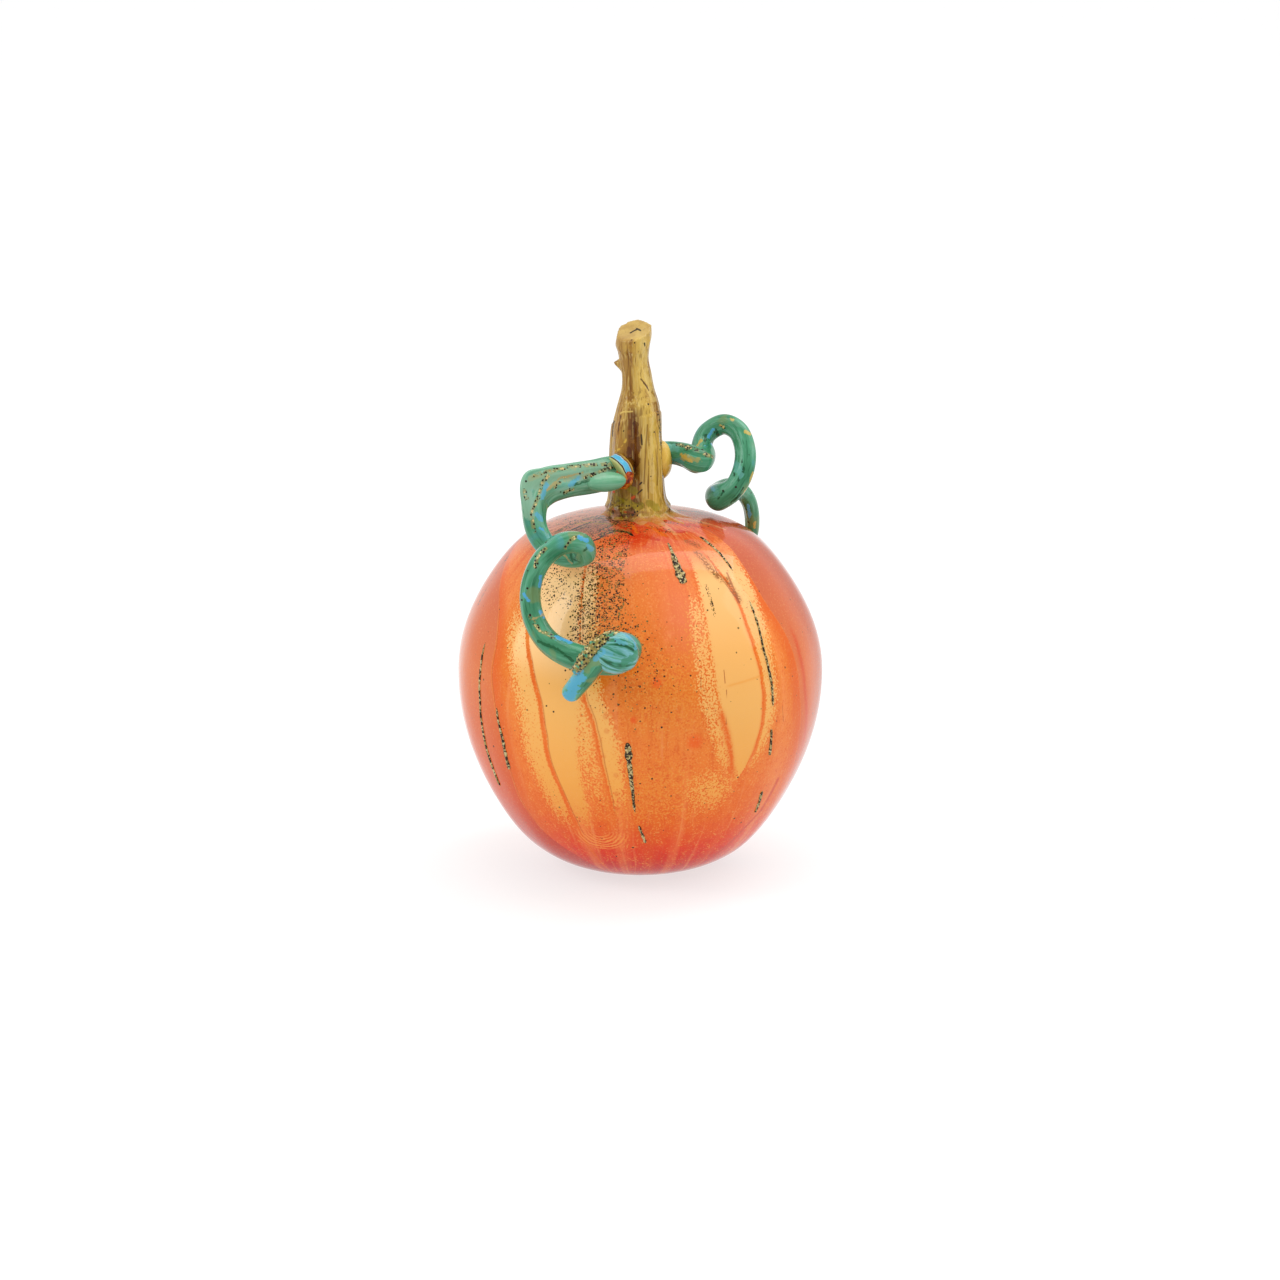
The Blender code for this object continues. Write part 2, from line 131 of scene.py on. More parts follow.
# Trails on the body: azimuth in degrees and height in mm, then the half width at both ends
TRAILS = {
    "trail_front_high": (((17.4, 144.0), (17.0, 138.0), (18.5, 131.0)), 0.6, 3.0),
    "trail_front_low": (((-3.8, 71.7), (-2.9, 57.6), (-1.8, 40.2)), 1.9, 0.6),
    "trail_front_foot": (((-0.4, 33.6), (2.2, 24.9)), 0.7, 1.0),
    "trail_right_long": (((45.3, 121.8), (43.8, 103.0), (44.9, 81.0)), 0.6, 0.9),
    "trail_right_mid": (((44.8, 71.4), (46.1, 59.8)), 0.8, 1.2),
    "trail_right_low": (((48.2, 43.0), (50.0, 32.6)), 1.2, 0.7),
    "trail_left_long": (((-60.7, 102.6), (-59.8, 79.4), (-59.6, 60.2), (-58.8, 42.3)), 0.6, 1.0),
    "trail_left_second": (((-50.4, 79.0), (-48.5, 65.7), (-48.2, 53.0)), 0.6, 1.6),
    "trail_shoulder": (((42.0, 144.5), (43.4, 139.0), (44.3, 133.0)), 0.8, 0.6),
}
TRAIL_STEPS, TRAIL_POINTS = 90, 7
TRAIL_SLIMNESS = 0.72
TRAIL_DEPTH = 0.3 * MM      # how far a trail goes into the body

# Camera
CAMERA_ELEVATION = math.radians(14)
CAMERA_DISTANCE = 1.6
CAMERA_AIM = Vector((0, 0, 94.94 * MM))
FRAME_WIDTH = 527.15 * MM   # what the picture spans at the aim point
SENSOR_WIDTH = 36.0

# Looks of the glass
GLASS_IOR = 1.30
GLOSS_WHITE = 0.022   # linear white that reflections add to the glass
GLASS_GAIN = 0.87
DARKEST_GLASS = 0.004
WORLD_LIGHT = 0.95
FLOOR_GLOW = 0.68
CURVE_TOP = 150.0     # the pattern's curves run from height 0 to here, in mm
CURVE_SIDE = 100.0    # and over this many degrees to either side
FINE_MARK = 0.75      # marks up to this radius in mm are less ragged
RAGGED, FINE_RAGGED = 3.0, 1.3

# Stage
FLOOR_REACH = 12.0
FLOOR_GREY = 0.32
LIGHT_AIM = (0, 0, 0.1)
# Softboxes: place, width, height and radiance
SOFTBOXES = {
    "overhead": ((0.40, 0.20, 1.5), 0.70, 1.9, 3.0),
    "left_box": ((-1.20, -0.50, 1.0), 0.6, 0.6, 4.0),
    "right_box": ((1.45, 0.0, 1.0), 0.7, 0.7, 1.7),
}


def smoothstep(low, high, value):
    t = min(max((value - low) / (high - low), 0.0), 1.0)
    return t * t * (3 - 2 * t)


def bump(value, middle, width):
    """A soft bell that is 1 at the middle."""
    return math.exp(-((value - middle) / width) ** 2)


def bump_round(angle, middle, width):
    """A soft bell round an angle, the short way round the circle."""
    return bump((angle - middle + math.pi) % TAU - math.pi, 0.0, width)


def outward(azimuth):
    """The level direction at an azimuth, which runs from the front to the right."""
    return Vector((math.sin(azimuth), -math.cos(azimuth), 0))


def turn(sides):
    """Evenly spaced angles all the way round."""
    return [TAU * i / sides for i in range(sides)]


# Meshes

def new_piece(name, points, faces, material, attributes=None):
    """A smooth-shaded piece, with named vectors on its points for its material."""
    mesh = bpy.data.meshes.new(name)
    mesh.from_pydata([tuple(p) for p in points], [], faces)
    mesh.update()
    for key, values in (attributes or {}).items():
        layer = mesh.attributes.new(key, "FLOAT_VECTOR", "POINT")
        layer.data.foreach_set("vector", [number for value in values for number in value])
    mesh.materials.append(material)
    mesh.shade_smooth()
    piece = bpy.data.objects.new(name, mesh)
    bpy.context.scene.collection.objects.link(piece)
    return piece


def skin(rings):
    """Points and faces over a row of rings, closed at both ends, faces pointing out for rings that
    run counter-clockwise as seen from the last one."""
    count = len(rings[0])
    points = [p for ring in rings for p in ring]
    faces = []
    for i in range(len(rings) - 1):
        for j in range(count):
            k = (j + 1) % count
            faces.append((i * count + j, i * count + k, (i + 1) * count + k, (i + 1) * count + j))
    last = (len(rings) - 1) * count
    for ring, offset, forward in ((rings[0], 0, False), (rings[-1], last, True)):
        points.append(sum(ring, Vector()) / count)
        centre = len(points) - 1
        for j in range(count):
            k = (j + 1) % count
            edge = (offset + j, offset + k) if forward else (offset + k, offset + j)
            faces.append((*edge, centre))
    return points, faces


def join_shells(*shells):
    """One list of points and one of faces from several closed shells."""
    points, faces = [], []
    for shell_points, shell_faces in shells:
        start = len(points)
        points += shell_points
        faces += [tuple(start + i for i in face) for face in shell_faces]
    return points, faces


def catmull_rom(rows, steps):
    """A smooth curve through rows of numbers, with steps points for each row."""
    rows = [list(row) for row in rows]
    first = [2 * a - b for a, b in zip(rows[0], rows[1])]
    last = [2 * a - b for a, b in zip(rows[-1], rows[-2])]
    rows = [first, *rows, last]
    smooth = []
    for p0, p1, p2, p3 in zip(rows, rows[1:], rows[2:], rows[3:]):
        for step in range(steps):
            t = step / steps
            smooth.append([0.5 * (2 * b + (c - a) * t + (2 * a - 5 * b + 4 * c - d) * t ** 2
                                  + (3 * b - a - 3 * c + d) * t ** 3)
                           for a, b, c, d in zip(p0, p1, p2, p3)])
    smooth.append(rows[-2])
    return smooth


def body_radius(height, inset=0.0, floor=0.0):
    """Radius of the body at a height; inset and floor give the inner surface."""
    if height >= EQUATOR_HEIGHT:
        t = (height - EQUATOR_HEIGHT) / (CROWN_HEIGHT - inset - EQUATOR_HEIGHT)
        fullness = SHOULDER_FULLNESS
    else:
        t = (EQUATOR_HEIGHT - height) / (EQUATOR_HEIGHT + BASE_DIP - floor)
        fullness = BOTTOM_FULLNESS
    t = min(t, 1.0)
    return (BODY_RADIUS - inset) * math.sqrt(1 - t * t) * (1 + fullness * t ** 6)


def crown_height(radius, inset=0.0):
    """Height of the crown at a distance from the axis."""
    low, high = EQUATOR_HEIGHT, CROWN_HEIGHT - inset
    for _ in range(40):
        middle = (low + high) / 2
        if body_radius(middle, inset) > radius:
            low = middle
        else:
            high = middle
    return low


def body_heights(lowest, highest, rings):
    """Heights that crowd towards both poles."""
    low = math.asin((EQUATOR_HEIGHT - lowest) / (EQUATOR_HEIGHT + BASE_DIP))
    high = math.asin((highest - EQUATOR_HEIGHT) / (CROWN_HEIGHT - EQUATOR_HEIGHT))
    below = [EQUATOR_HEIGHT - (EQUATOR_HEIGHT + BASE_DIP) * math.sin(low * (1 - i / rings))
             for i in range(rings)]
    above = [EQUATOR_HEIGHT + (CROWN_HEIGHT - EQUATOR_HEIGHT) * math.sin(high * i / rings)
             for i in range(rings + 1)]
    return below + above


def body_swell(azimuth, height):
    """How far hand work and the optic ribs move the outer surface, none at the flat base."""
    up = smoothstep(0.0, 0.02, height) * (1 - smoothstep(0.143, 0.149, height))
    place = Vector((math.sin(azimuth), -math.cos(azimuth), height / BODY_RADIUS)) * 1.3
    wave = noise.noise(place) * 0.5 * MM
    ribs = math.cos(OPTIC_RIBS * azimuth + 1.2) * 0.12 * MM
    return up * (wave + ribs)


def make_body(material):
    """The hollow body: slightly uneven outside, ribbed inside, open at the neck."""
    rings = []
    for z in body_heights(0.0, crown_height(NECK_RADIUS), BODY_RINGS):
        radius = body_radius(z)
        rings.append([outward(a) * (radius + body_swell(a, z)) + Vector((0, 0, z))
                      for a in turn(BODY_SIDES)])
    inner_top = crown_height(NECK_RADIUS, WALL)
    for z in body_heights(FLOOR_THICKNESS, inner_top, INNER_RINGS)[::-1]:
        radius = body_radius(z, WALL, FLOOR_THICKNESS)
        ribbed = INNER_RIB_DEPTH * (z < inner_top - 2 * MM)
        rings.append([outward(a) * (radius - ribbed * (0.5 + 0.5 * math.cos(OPTIC_RIBS * a)))
                      + Vector((0, 0, z)) for a in turn(BODY_SIDES)])
    points, faces = skin(rings)
    return new_piece("glass_body", points, faces, material)


# Stem relief: azimuth in degrees and height in mm at the lower and the upper end of each ridge or
# groove, its half width in degrees and its rise in mm
STEM_RIDGES = (
    (38, 150, 24, 200, 17, 1.5), (62, 150, 55, 185, 12, 0.7), (-6, 166, -8, 191, 11, -1.9),
    (-30, 170, -22, 196, 20, 1), (-62, 160, -50, 190, 14, -0.6), (-12, 196, -18, 224, 10, -0.7),
    (16, 190, 4, 226, 14, 0.8), (150, 152, 168, 215, 20, 0.9), (-110, 152, -96, 212, 16, -0.8),
    (112, 155, 120, 205, 14, -0.9), (-140, 155, -150, 205, 14, 0.8), (190, 185, 196, 226, 12, -0.6),
)
STEM_CUT = Vector((-0.20, -0.46, 1.0))   # normal of the sloping cut at the top
STEM_CUT_HEIGHT = 223.4 * MM
# Wisps of the foot: azimuth in degrees, reach in mm and half width in degrees
FOOT_WISPS = (
    (-75, 1.5, 14), (-34, 3, 10), (2, 6.5, 9), (24, 9.5, 8), (48, 11, 7), (74, 8, 9), (100, 2, 16),
    (170, 3, 20), (-130, 2.5, 18),
)
# The foot's slope: share of the wisps' reach, and lift above the crown in mm
FOOT_SLOPE = ((1.0, -0.25), (0.94, 0.02), (0.8, 0.15), (0.6, 0.35), (0.4, 0.7), (0.22, 1.2), (0.1, 1.8))


def stem_surface(azimuth, height, middle, half_width):
    """A point of the shaft, with its ridges, flutes, sleeve and spur."""
    out = outward(azimuth)
    rise = 0.0
    for low_azimuth, low, high_azimuth, high, width, amount in STEM_RIDGES:
        t = (height / MM - low) / (high - low)
        fade = smoothstep(-0.12, 0.12, t) * (1 - smoothstep(0.85, 1.12, t))
        centre = math.radians(low_azimuth + (high_azimuth - low_azimuth) * t)
        rise += amount * fade * bump_round(azimuth, centre, math.radians(width))
    flow = Vector((out.x * 2.4, out.y * 2.4, height * 14))
    rise += 0.9 * noise.noise(flow) + 0.35 * noise.noise(flow * 2.354)
    fine = Vector((out.x * 11, out.y * 11, height * 26))
    rise += 0.22 * noise.noise(fine)
    sleeve = SLEEVE_HEIGHT + 3.0 * math.sin(azimuth + 0.6)
    rise += 0.45 * (1 - smoothstep(sleeve - 0.8, sleeve + 0.3, height / MM))
    spur_side = bump_round(azimuth, -math.pi / 2, 0.30)
    spur_up = smoothstep(SPUR_HEIGHT - 6.4, SPUR_HEIGHT, height / MM)
    spur_up *= 1 - smoothstep(SPUR_HEIGHT, SPUR_HEIGHT + 1.8, height / MM)
    rise += 2.6 * spur_side * spur_up
    return out * (half_width + rise * MM) + Vector((middle, 0, height))


def make_stem(material):
    """The shaft, its foot melted into the crown in wisps, and the plug in the neck."""
    rows = catmull_rom([[v * MM for v in row] for row in STEM_STATIONS], 14)
    rings = []
    azimuths = turn(STEM_SIDES)
    for share, depth in ((0.6, 6.8), (1.0, 5.3), (1.0, 0.4)):
        rings.append([outward(a) * PLUG_RADIUS * share + Vector((0, 0, CROWN_HEIGHT - depth * MM))
                      for a in azimuths])
    for share, lift in FOOT_SLOPE:
        ring = []
        for a in azimuths:
            wisp = sum(reach * bump_round(a, math.radians(where), math.radians(wide))
                       for where, reach, wide in FOOT_WISPS)
            ragged = noise.noise(Vector((math.sin(a) * 4, math.cos(a) * 4, 1.7)))
            radius = SHAFT_FOOT_RADIUS + share * (1.6 + wisp + 1.4 * ragged) * MM
            lean = 0.8 * MM * (1 - share)
            z = crown_height(radius) + lift * MM
            ring.append(Vector((math.sin(a) * radius - lean, -math.cos(a) * radius, z)))
        rings.append(ring)
    top = STEM_CUT.normalized()
    for z, middle, half_width in rows:
        ring = []
        for a in azimuths:
            p = stem_surface(a, z, middle, half_width)
            cut = STEM_CUT_HEIGHT - (top.x * (p.x - middle) + top.y * p.y) / top.z
            if z > SHEAR_START:
                share = (z - SHEAR_START) / (rows[-1][0] - SHEAR_START)
                p.z = SHEAR_START + share * (cut - SHEAR_START)
            ring.append(p)
        rings.append(ring)
    last = rings[-1]
    middle = sum(last, Vector()) / STEM_SIDES
    for share, lift in ((0.93, 0.35), (0.82, 0.35), (0.6, 0.1), (0.35, -0.15)):
        rings.append([middle + (p - middle) * share + top * lift * MM for p in last])
    points, faces = skin(rings)
    return new_piece("glass_stem", points, faces, material)


def sweep(stations, steps, sides, section):
    """Rings of a tendril, and for each point how far it is along and round it."""
    rows = catmull_rom([[v * MM for v in row] for row in stations], steps)
    points = [Vector(row[:3]) for row in rows]
    tangents = [(b - a).normalized() for a, b in zip(points[:1] + points, points[1:] + points[-1:])]
    lengths = [0.0]
    for a, b in zip(points, points[1:]):
        lengths.append(lengths[-1] + (b - a).length)
    total = lengths[-1]
    wide = (Vector((0, 0, 1)) - tangents[0] * tangents[0].z).normalized()
    rings, flow, frames = [], [], []
    for i, (row, point) in enumerate(zip(rows, points)):
        if i:
            wide = tangents[i - 1].rotation_difference(tangents[i]) @ wide
            wide = (wide - tangents[i] * wide.dot(tangents[i])).normalized()
        frames.append((point, tangents[i], wide, row[3], row[4], lengths[i]))
    point, tangent, wide, width, thick, along = frames[-1]
    for k in range(1, CAP_RINGS + 1):
        angle = k / (CAP_RINGS + 0.4) * math.pi / 2
        further = thick * math.sin(angle)
        frames.append((point + tangent * further, tangent, wide,
                       width * math.cos(angle), thick * math.cos(angle), along + further))
    for point, tangent, wide, width, thick, along in frames:
        flat = tangent.cross(wide)
        ring = []
        for a in turn(sides):
            across, through = section(a, along / MM, width, thick)
            ring.append(point + wide * across + flat * through)
            flow.append((math.cos(a), math.sin(a), along / total * 10))
        rings.append(ring)
    return rings, flow


def ease(low, high, value, soft):
    """1 between low and high, falling softly outside."""
    return smoothstep(low - soft, low + soft, value) * (1 - smoothstep(high - soft, high + soft, value))


def left_section(a, along, width, thick):
    """The left tendril's cross-section: a folded strap with a thin lip and a thick lower roll, then
    a round limb with a faint groove, then a flat end."""
    strap = ease(6, 62, along, 8)
    corner = 0.36 * bump(along, 48.0, 4.2) * max(math.cos(a), 0.0) ** 3
    across = math.cos(a) * width * (1 + 0.03 * strap + corner)
    through = math.sin(a) * thick * (1 - 0.30 * strap * math.cos(a))
    fold = math.radians(108 - 0.9 * along)
    groove = 1 - 0.16 * strap * bump_round(a, -fold, 0.20)
    groove -= 0.10 * strap * bump_round(a, -fold - 0.9, 0.25)
    groove -= 0.07 * (1 - strap) * bump_round(a, 3.9, 0.25)
    flutes = groove * (1 + strap * 0.018 * math.cos(9 * a + along * 0.06))
    flutes += 0.035 * noise.noise(Vector((math.cos(a) * 1.3, math.sin(a) * 1.3, along * 0.06)))
    return across * flutes, through * flutes


def right_section(a, along, width, thick):
    """The right tendril's cross-section, round with one pulled groove."""
    flutes = 1 - 0.08 * bump_round(a, 2.2 + along * 0.02, 0.3)
    flutes += 0.05 * noise.noise(Vector((math.cos(a) * 1.4, math.sin(a) * 1.4, 9 + along * 0.06)))
    return math.cos(a) * width * flutes, math.sin(a) * thick * flutes


def ellipsoid(centre, radii, axis=Vector((0, 0, 1)), lumps=0.0, seed=0.0, zone=0.0, rows=40, sides=56):
    """Points, faces and flow of a drop of glass; its flow runs from pole to pole along the axis, and
    starts at the zone's number."""
    place = Matrix.Translation(Vector(centre) * MM) @ axis.to_track_quat("Z", "Y").to_matrix().to_4x4()
    rings, flow = [], []
    for i in range(1, rows):
        polar = math.pi * i / rows
        ring = []
        for a in turn(sides):
            d = Vector((math.sin(polar) * math.cos(a), math.sin(polar) * math.sin(a), -math.cos(polar)))
            size = 1 + lumps * noise.noise(d * 1.7 + Vector((seed, seed, 0)))
            ring.append(place @ (Vector((d.x * radii[0], d.y * radii[1], d.z * radii[2])) * size * MM))
            flow.append((math.cos(a), math.sin(a), zone + i / rows))
        rings.append(ring)
    points, faces = skin(rings)
    return points, faces, flow + [flow[0], flow[-1]]


def make_left_tendril(material):
    """The strap, coil and limb in one sweep, with the strap's lower roll, the paddle's blade and the
    ridge of crushed glass drawn over it."""
    rings, flow = sweep(LEFT_TENDRIL, TENDRIL_STEPS, TENDRIL_SIDES, left_section)
    limb = skin(rings)
    flow += [flow[0], flow[-1]]
    *roll, roll_flow = ellipsoid(ROLL_CENTRE, ROLL_RADII, ROLL_AXIS, zone=ROLL_ZONE)
    *blade, blade_flow = ellipsoid(BLADE_CENTRE, BLADE_RADII, BLADE_AXIS, 0.05, 2.0, BLADE_ZONE)
    ridge_rings, ridge_flow = sweep(RIDGE, RIDGE_STEPS, RIDGE_SIDES, rough_section)
    ridge = skin(ridge_rings)
    ridge_flow = [(x, y, z + RIDGE_ZONE) for x, y, z in ridge_flow]
    ridge_flow += [ridge_flow[0], ridge_flow[-1]]
    points, faces = join_shells(limb, roll, blade, ridge)
    return new_piece("glass_left_tendril", points, faces, material,
                     {"flow": flow + roll_flow + blade_flow + ridge_flow})


def rough_section(a, along, width, thick):
    """A lumpy thread of crushed glass."""
    lump = 1 + 0.35 * noise.noise(Vector((math.cos(a) * 1.5, math.sin(a) * 1.5, along * 0.8)))
    return math.cos(a) * width * lump, math.sin(a) * thick * lump


def make_right_tendril(material):
    rings, flow = sweep(RIGHT_TENDRIL, TENDRIL_STEPS, TENDRIL_SIDES, right_section)
    points, faces = skin(rings)
    flow += [flow[0], flow[-1]]
    return new_piece("glass_right_tendril", points, faces, material, {"flow": flow})


def make_collar(material):
    """The blue collar round the strap's root: a turned band whose flow gives mm along its axis."""
    axis = COLLAR_AXIS.normalized()
    side = axis.cross(Vector((0, 0, 1))).normalized()
    up = side.cross(axis)
    rings, flow = [], []
    for along, radius in COLLAR_PROFILE[::-1]:
        ring = []
        for a in turn(COLLAR_SIDES):
            lump = noise.noise(Vector((math.cos(a), math.sin(a), along)))
            uneven = 1 + 0.04 * math.sin(2 * a + 0.6) + 0.03 * lump
            offset = (side * math.cos(a) + up * math.sin(a)) * radius * uneven + axis * along
            ring.append((Vector(COLLAR_CENTRE) + offset) * MM)
            flow.append((math.cos(a), math.sin(a), along))
        rings.append(ring)
    points, faces = skin(rings)
    flow += [flow[0], flow[-1]]
    return new_piece("glass_left_collar", points, faces, material, {"flow": flow})


def make_drop(name, centre, radii, material, lumps, seed):
    points, faces, _ = ellipsoid(centre, radii, lumps=lumps, seed=seed)
    return new_piece(name, points, faces, material)


def surface_point(azimuth, height):
    """A point on the body and the direction out of it."""
    step = 0.2 * MM
    radius = body_radius(height) + body_swell(azimuth, height)
    slope = (body_radius(height - step) - body_radius(height + step)) / (2 * step)
    out = outward(azimuth)
    return out * radius + Vector((0, 0, height)), (out + Vector((0, 0, slope))).normalized()


def make_trail(name, route, start_width, end_width, material):
    """A rough thread of flecked glass, half sunk in the body."""
    spans = len(route) - 1
    samples = []
    for i in range(TRAIL_STEPS + 1):
        part = i / TRAIL_STEPS
        span = min(int(part * spans), spans - 1)
        t = part * spans - span
        azimuth, height = (a + (b - a) * t for a, b in zip(route[span], route[span + 1]))
        lumpy = noise.noise(Vector((azimuth, height * 0.45, 3.0)))
        azimuth += 0.35 * noise.noise(Vector((height * 0.12, 5.0, azimuth * 0.01)))
        point, out = surface_point(math.radians(azimuth), height * MM)
        taper = math.sqrt(max(0.0, 1 - (2 * part - 1) ** 10))
        width = start_width + (end_width - start_width) * part
        width *= (1 + 0.5 * lumpy) * taper * TRAIL_SLIMNESS
        samples.append((point, out, max(width, 0.05) * MM))
    rings = []
    for i, (point, out, width) in enumerate(samples):
        along = samples[min(i + 1, TRAIL_STEPS)][0] - samples[max(i - 1, 0)][0]
        across = along.cross(out).normalized()
        ring = []
        for j in range(TRAIL_POINTS):
            t = 2 * j / (TRAIL_POINTS - 1) - 1
            rough = 1 + 0.4 * noise.noise(point * 1800 + Vector((j * 3.1, 0, 0)))
            rise = (0.12 + 0.42 * (1 - t * t) * rough) * MM * min(1.0, width / (0.5 * MM))
            ring.append(point + across * width * t + out * rise)
        ring.append(point + across * width * 0.9 - out * TRAIL_DEPTH)
        ring.append(point - across * width * 0.9 - out * TRAIL_DEPTH)
        rings.append(ring)
    points, faces = skin(rings)
    return new_piece("glass_" + name, points, faces, material)


# Materials

class Graph:
    """Short names for the nodes of one material."""

    depth = 1.0   # how much the front-to-back distance counts when a stroke is drawn

    def __init__(self, name):
        self.material = bpy.data.materials.new(name)
        self.material.use_nodes = True
        self.tree = self.material.node_tree
        self.shader = self.tree.nodes["Principled BSDF"]

    def plug(self, socket, value):
        """A socket linked or set; a hex text is a colour of glass."""
        if isinstance(value, bpy.types.NodeSocket):
            self.tree.links.new(value, socket)
        elif socket.type == "RGBA":
            socket.default_value = linear(value)
        else:
            socket.default_value = value

    def node(self, kind, values=None, **settings):
        node = self.tree.nodes.new("ShaderNode" + kind)
        for key, value in settings.items():
            setattr(node, key, value)
        for key, value in (values or {}).items():
            self.plug(node.inputs[key], value)
        return node

    def math(self, operation, a, b=0.0):
        return self.node("Math", {0: a, 1: b}, operation=operation).outputs[0]

    def add(self, a, b):
        return self.math("ADD", a, b)

    def less(self, a, b):
        return self.math("SUBTRACT", a, b)

    def times(self, *values):
        product = values[0]
        for value in values[1:]:
            product = self.math("MULTIPLY", product, value)
        return product

    def most(self, *values):
        largest = values[0]
        for value in values[1:]:
            largest = self.math("MAXIMUM", largest, value)
        return largest

    def vector(self, operation, a, b=(0, 0, 0)):
        return self.node("VectorMath", {0: a, 1: b}, operation=operation).outputs[0]

    def size(self, vector):
        """A vector's length in mm."""
        node = self.node("VectorMath", {0: vector}, operation="LENGTH")
        return self.times(node.outputs["Value"], 1000.0)

    def join(self, x, y, z):
        return self.node("CombineXYZ", {0: x, 1: y, 2: z}).outputs[0]

    def steps(self, value, low, high, out_low=0.0, out_high=1.0):
        node = self.node("MapRange", {0: value, 1: low, 2: high, 3: out_low, 4: out_high},
                         interpolation_type="SMOOTHSTEP", clamp=False)
        return node.outputs[0]

    def span(self, value, low, high, soft):
        """1 between low and high, falling to 0 over the softness outside them."""
        return self.times(self.steps(value, low - soft, low), self.steps(value, high + soft, high))

    def mix(self, share, a, b):
        return self.node("Mix", {0: share, 6: a, 7: b}, data_type="RGBA").outputs[2]

    def coat(self, colour, over, *shares):
        """The colour with another one over it, as much as the product of the shares."""
        return self.mix(self.times(*shares), colour, over)

    def ramp(self, value, stops):
        """A colour for a value, through stops of (value, colour)."""
        node = self.node("ValToRGB", {0: value})
        elements = node.color_ramp.elements
        while len(elements) < len(stops):
            elements.new(0.5)
        for element, (position, colour) in zip(elements, stops):
            element.position = position
            element.color = linear(colour)
        return node.outputs[0]

    def noise(self, place, scale, detail=2.0, roughness=0.5, distortion=0.0):
        node = self.node("TexNoise", {"Vector": place, "Scale": scale, "Detail": detail,
                                      "Roughness": roughness, "Distortion": distortion})
        return node.outputs[0]

    def cells(self, place, scale):
        """Distance to the nearest cell's middle, and a random number for that cell."""
        node = self.node("TexVoronoi", {"Vector": place, "Scale": scale})
        colour = self.node("SeparateColor", {0: node.outputs["Color"]})
        return node.outputs["Distance"], colour.outputs[0]

    def place(self):
        return self.node("TexCoord").outputs["Object"]

    def xyz(self, vector):
        return self.node("SeparateXYZ", {0: vector}).outputs

    def attribute(self, name):
        return self.node("Attribute", attribute_name=name, attribute_type="GEOMETRY").outputs["Vector"]

    def bell(self, value, middle, width):
        """1 at the middle, falling to 0 at about two widths."""
        away = self.math("DIVIDE", self.less(value, middle), width)
        return self.math("POWER", math.e, self.times(away, away, -1.0))

    def track(self, height, points):
        """The azimuth in degrees at a height in mm, on a smooth line through points of both."""
        node = self.node("FloatCurve", {1: self.math("DIVIDE", height, CURVE_TOP)})
        curve = node.mapping.curves[0]
        rows = sorted((z / CURVE_TOP, (azimuth + CURVE_SIDE) / (2 * CURVE_SIDE))
                      for azimuth, z in points)
        for _ in rows[2:]:
            curve.points.new(0.5, 0.5)
        for point, row in zip(curve.points, rows):
            point.location = row
        node.mapping.update()
        return self.less(self.times(node.outputs[0], 2 * CURVE_SIDE), CURVE_SIDE)

    def reach(self, place, lines):
        """The distance in mm from a place to the nearest of several lines of places in mm."""
        nearest = 1000.0
        for line in lines:
            for start, end in zip(line, line[1:]):
                flatten = Vector((1, self.depth, 1))
                course = (Vector(end) - Vector(start)) * flatten * MM
                node = self.tree.nodes.new("ShaderNodeGroup")
                node.node_tree = distance_group()
                values = {"Place": place, "Start": tuple(Vector(start) * MM), "Line": tuple(course),
                          "Flatten": tuple(flatten), "Share": 1 / max(course.length_squared, 1e-12)}
                for key, value in values.items():
                    self.plug(node.inputs[key], value)
                nearest = self.math("MINIMUM", nearest, node.outputs[0])
        return nearest

    def strokes(self, place, lines, radius, soft=0.4):
        """A mask over several lines, 1 in their middle and 0 past the radius in mm."""
        return self.steps(self.reach(place, lines), radius, radius * (1 - soft))

    def draw(self, colour, place, marks):
        """The colour with ragged marks over it: rows of (hex colour, radius in mm, strength, lines)."""
        ragged = self.less(self.noise(place, 380, 3, 0.65), 0.5)
        for text, radius, strength, lines in marks:
            reach = self.reach(place, lines)
            uneven = self.times(ragged, RAGGED if radius > FINE_MARK else FINE_RAGGED)
            mask = self.steps(self.add(self.steps(reach, radius, radius * 0.1), uneven), 0.25, 0.60)
            near = self.steps(reach, radius * 1.25, radius * 0.6)
            colour = self.coat(colour, text, mask, near, strength)
        return colour

    def finish(self, colour, roughness, height=None, bump_distance=0.3):
        """The material, glossy, with a bump whose distance is in mm."""
        inputs = self.shader.inputs
        self.plug(inputs["Base Color"], colour)
        self.plug(inputs["Roughness"], roughness)
        inputs["IOR"].default_value = GLASS_IOR
        if height is not None:
            node = self.node("Bump", {"Height": height, "Strength": 1.0, "Distance": bump_distance * MM})
            self.tree.links.new(node.outputs[0], inputs["Normal"])
        return self.material


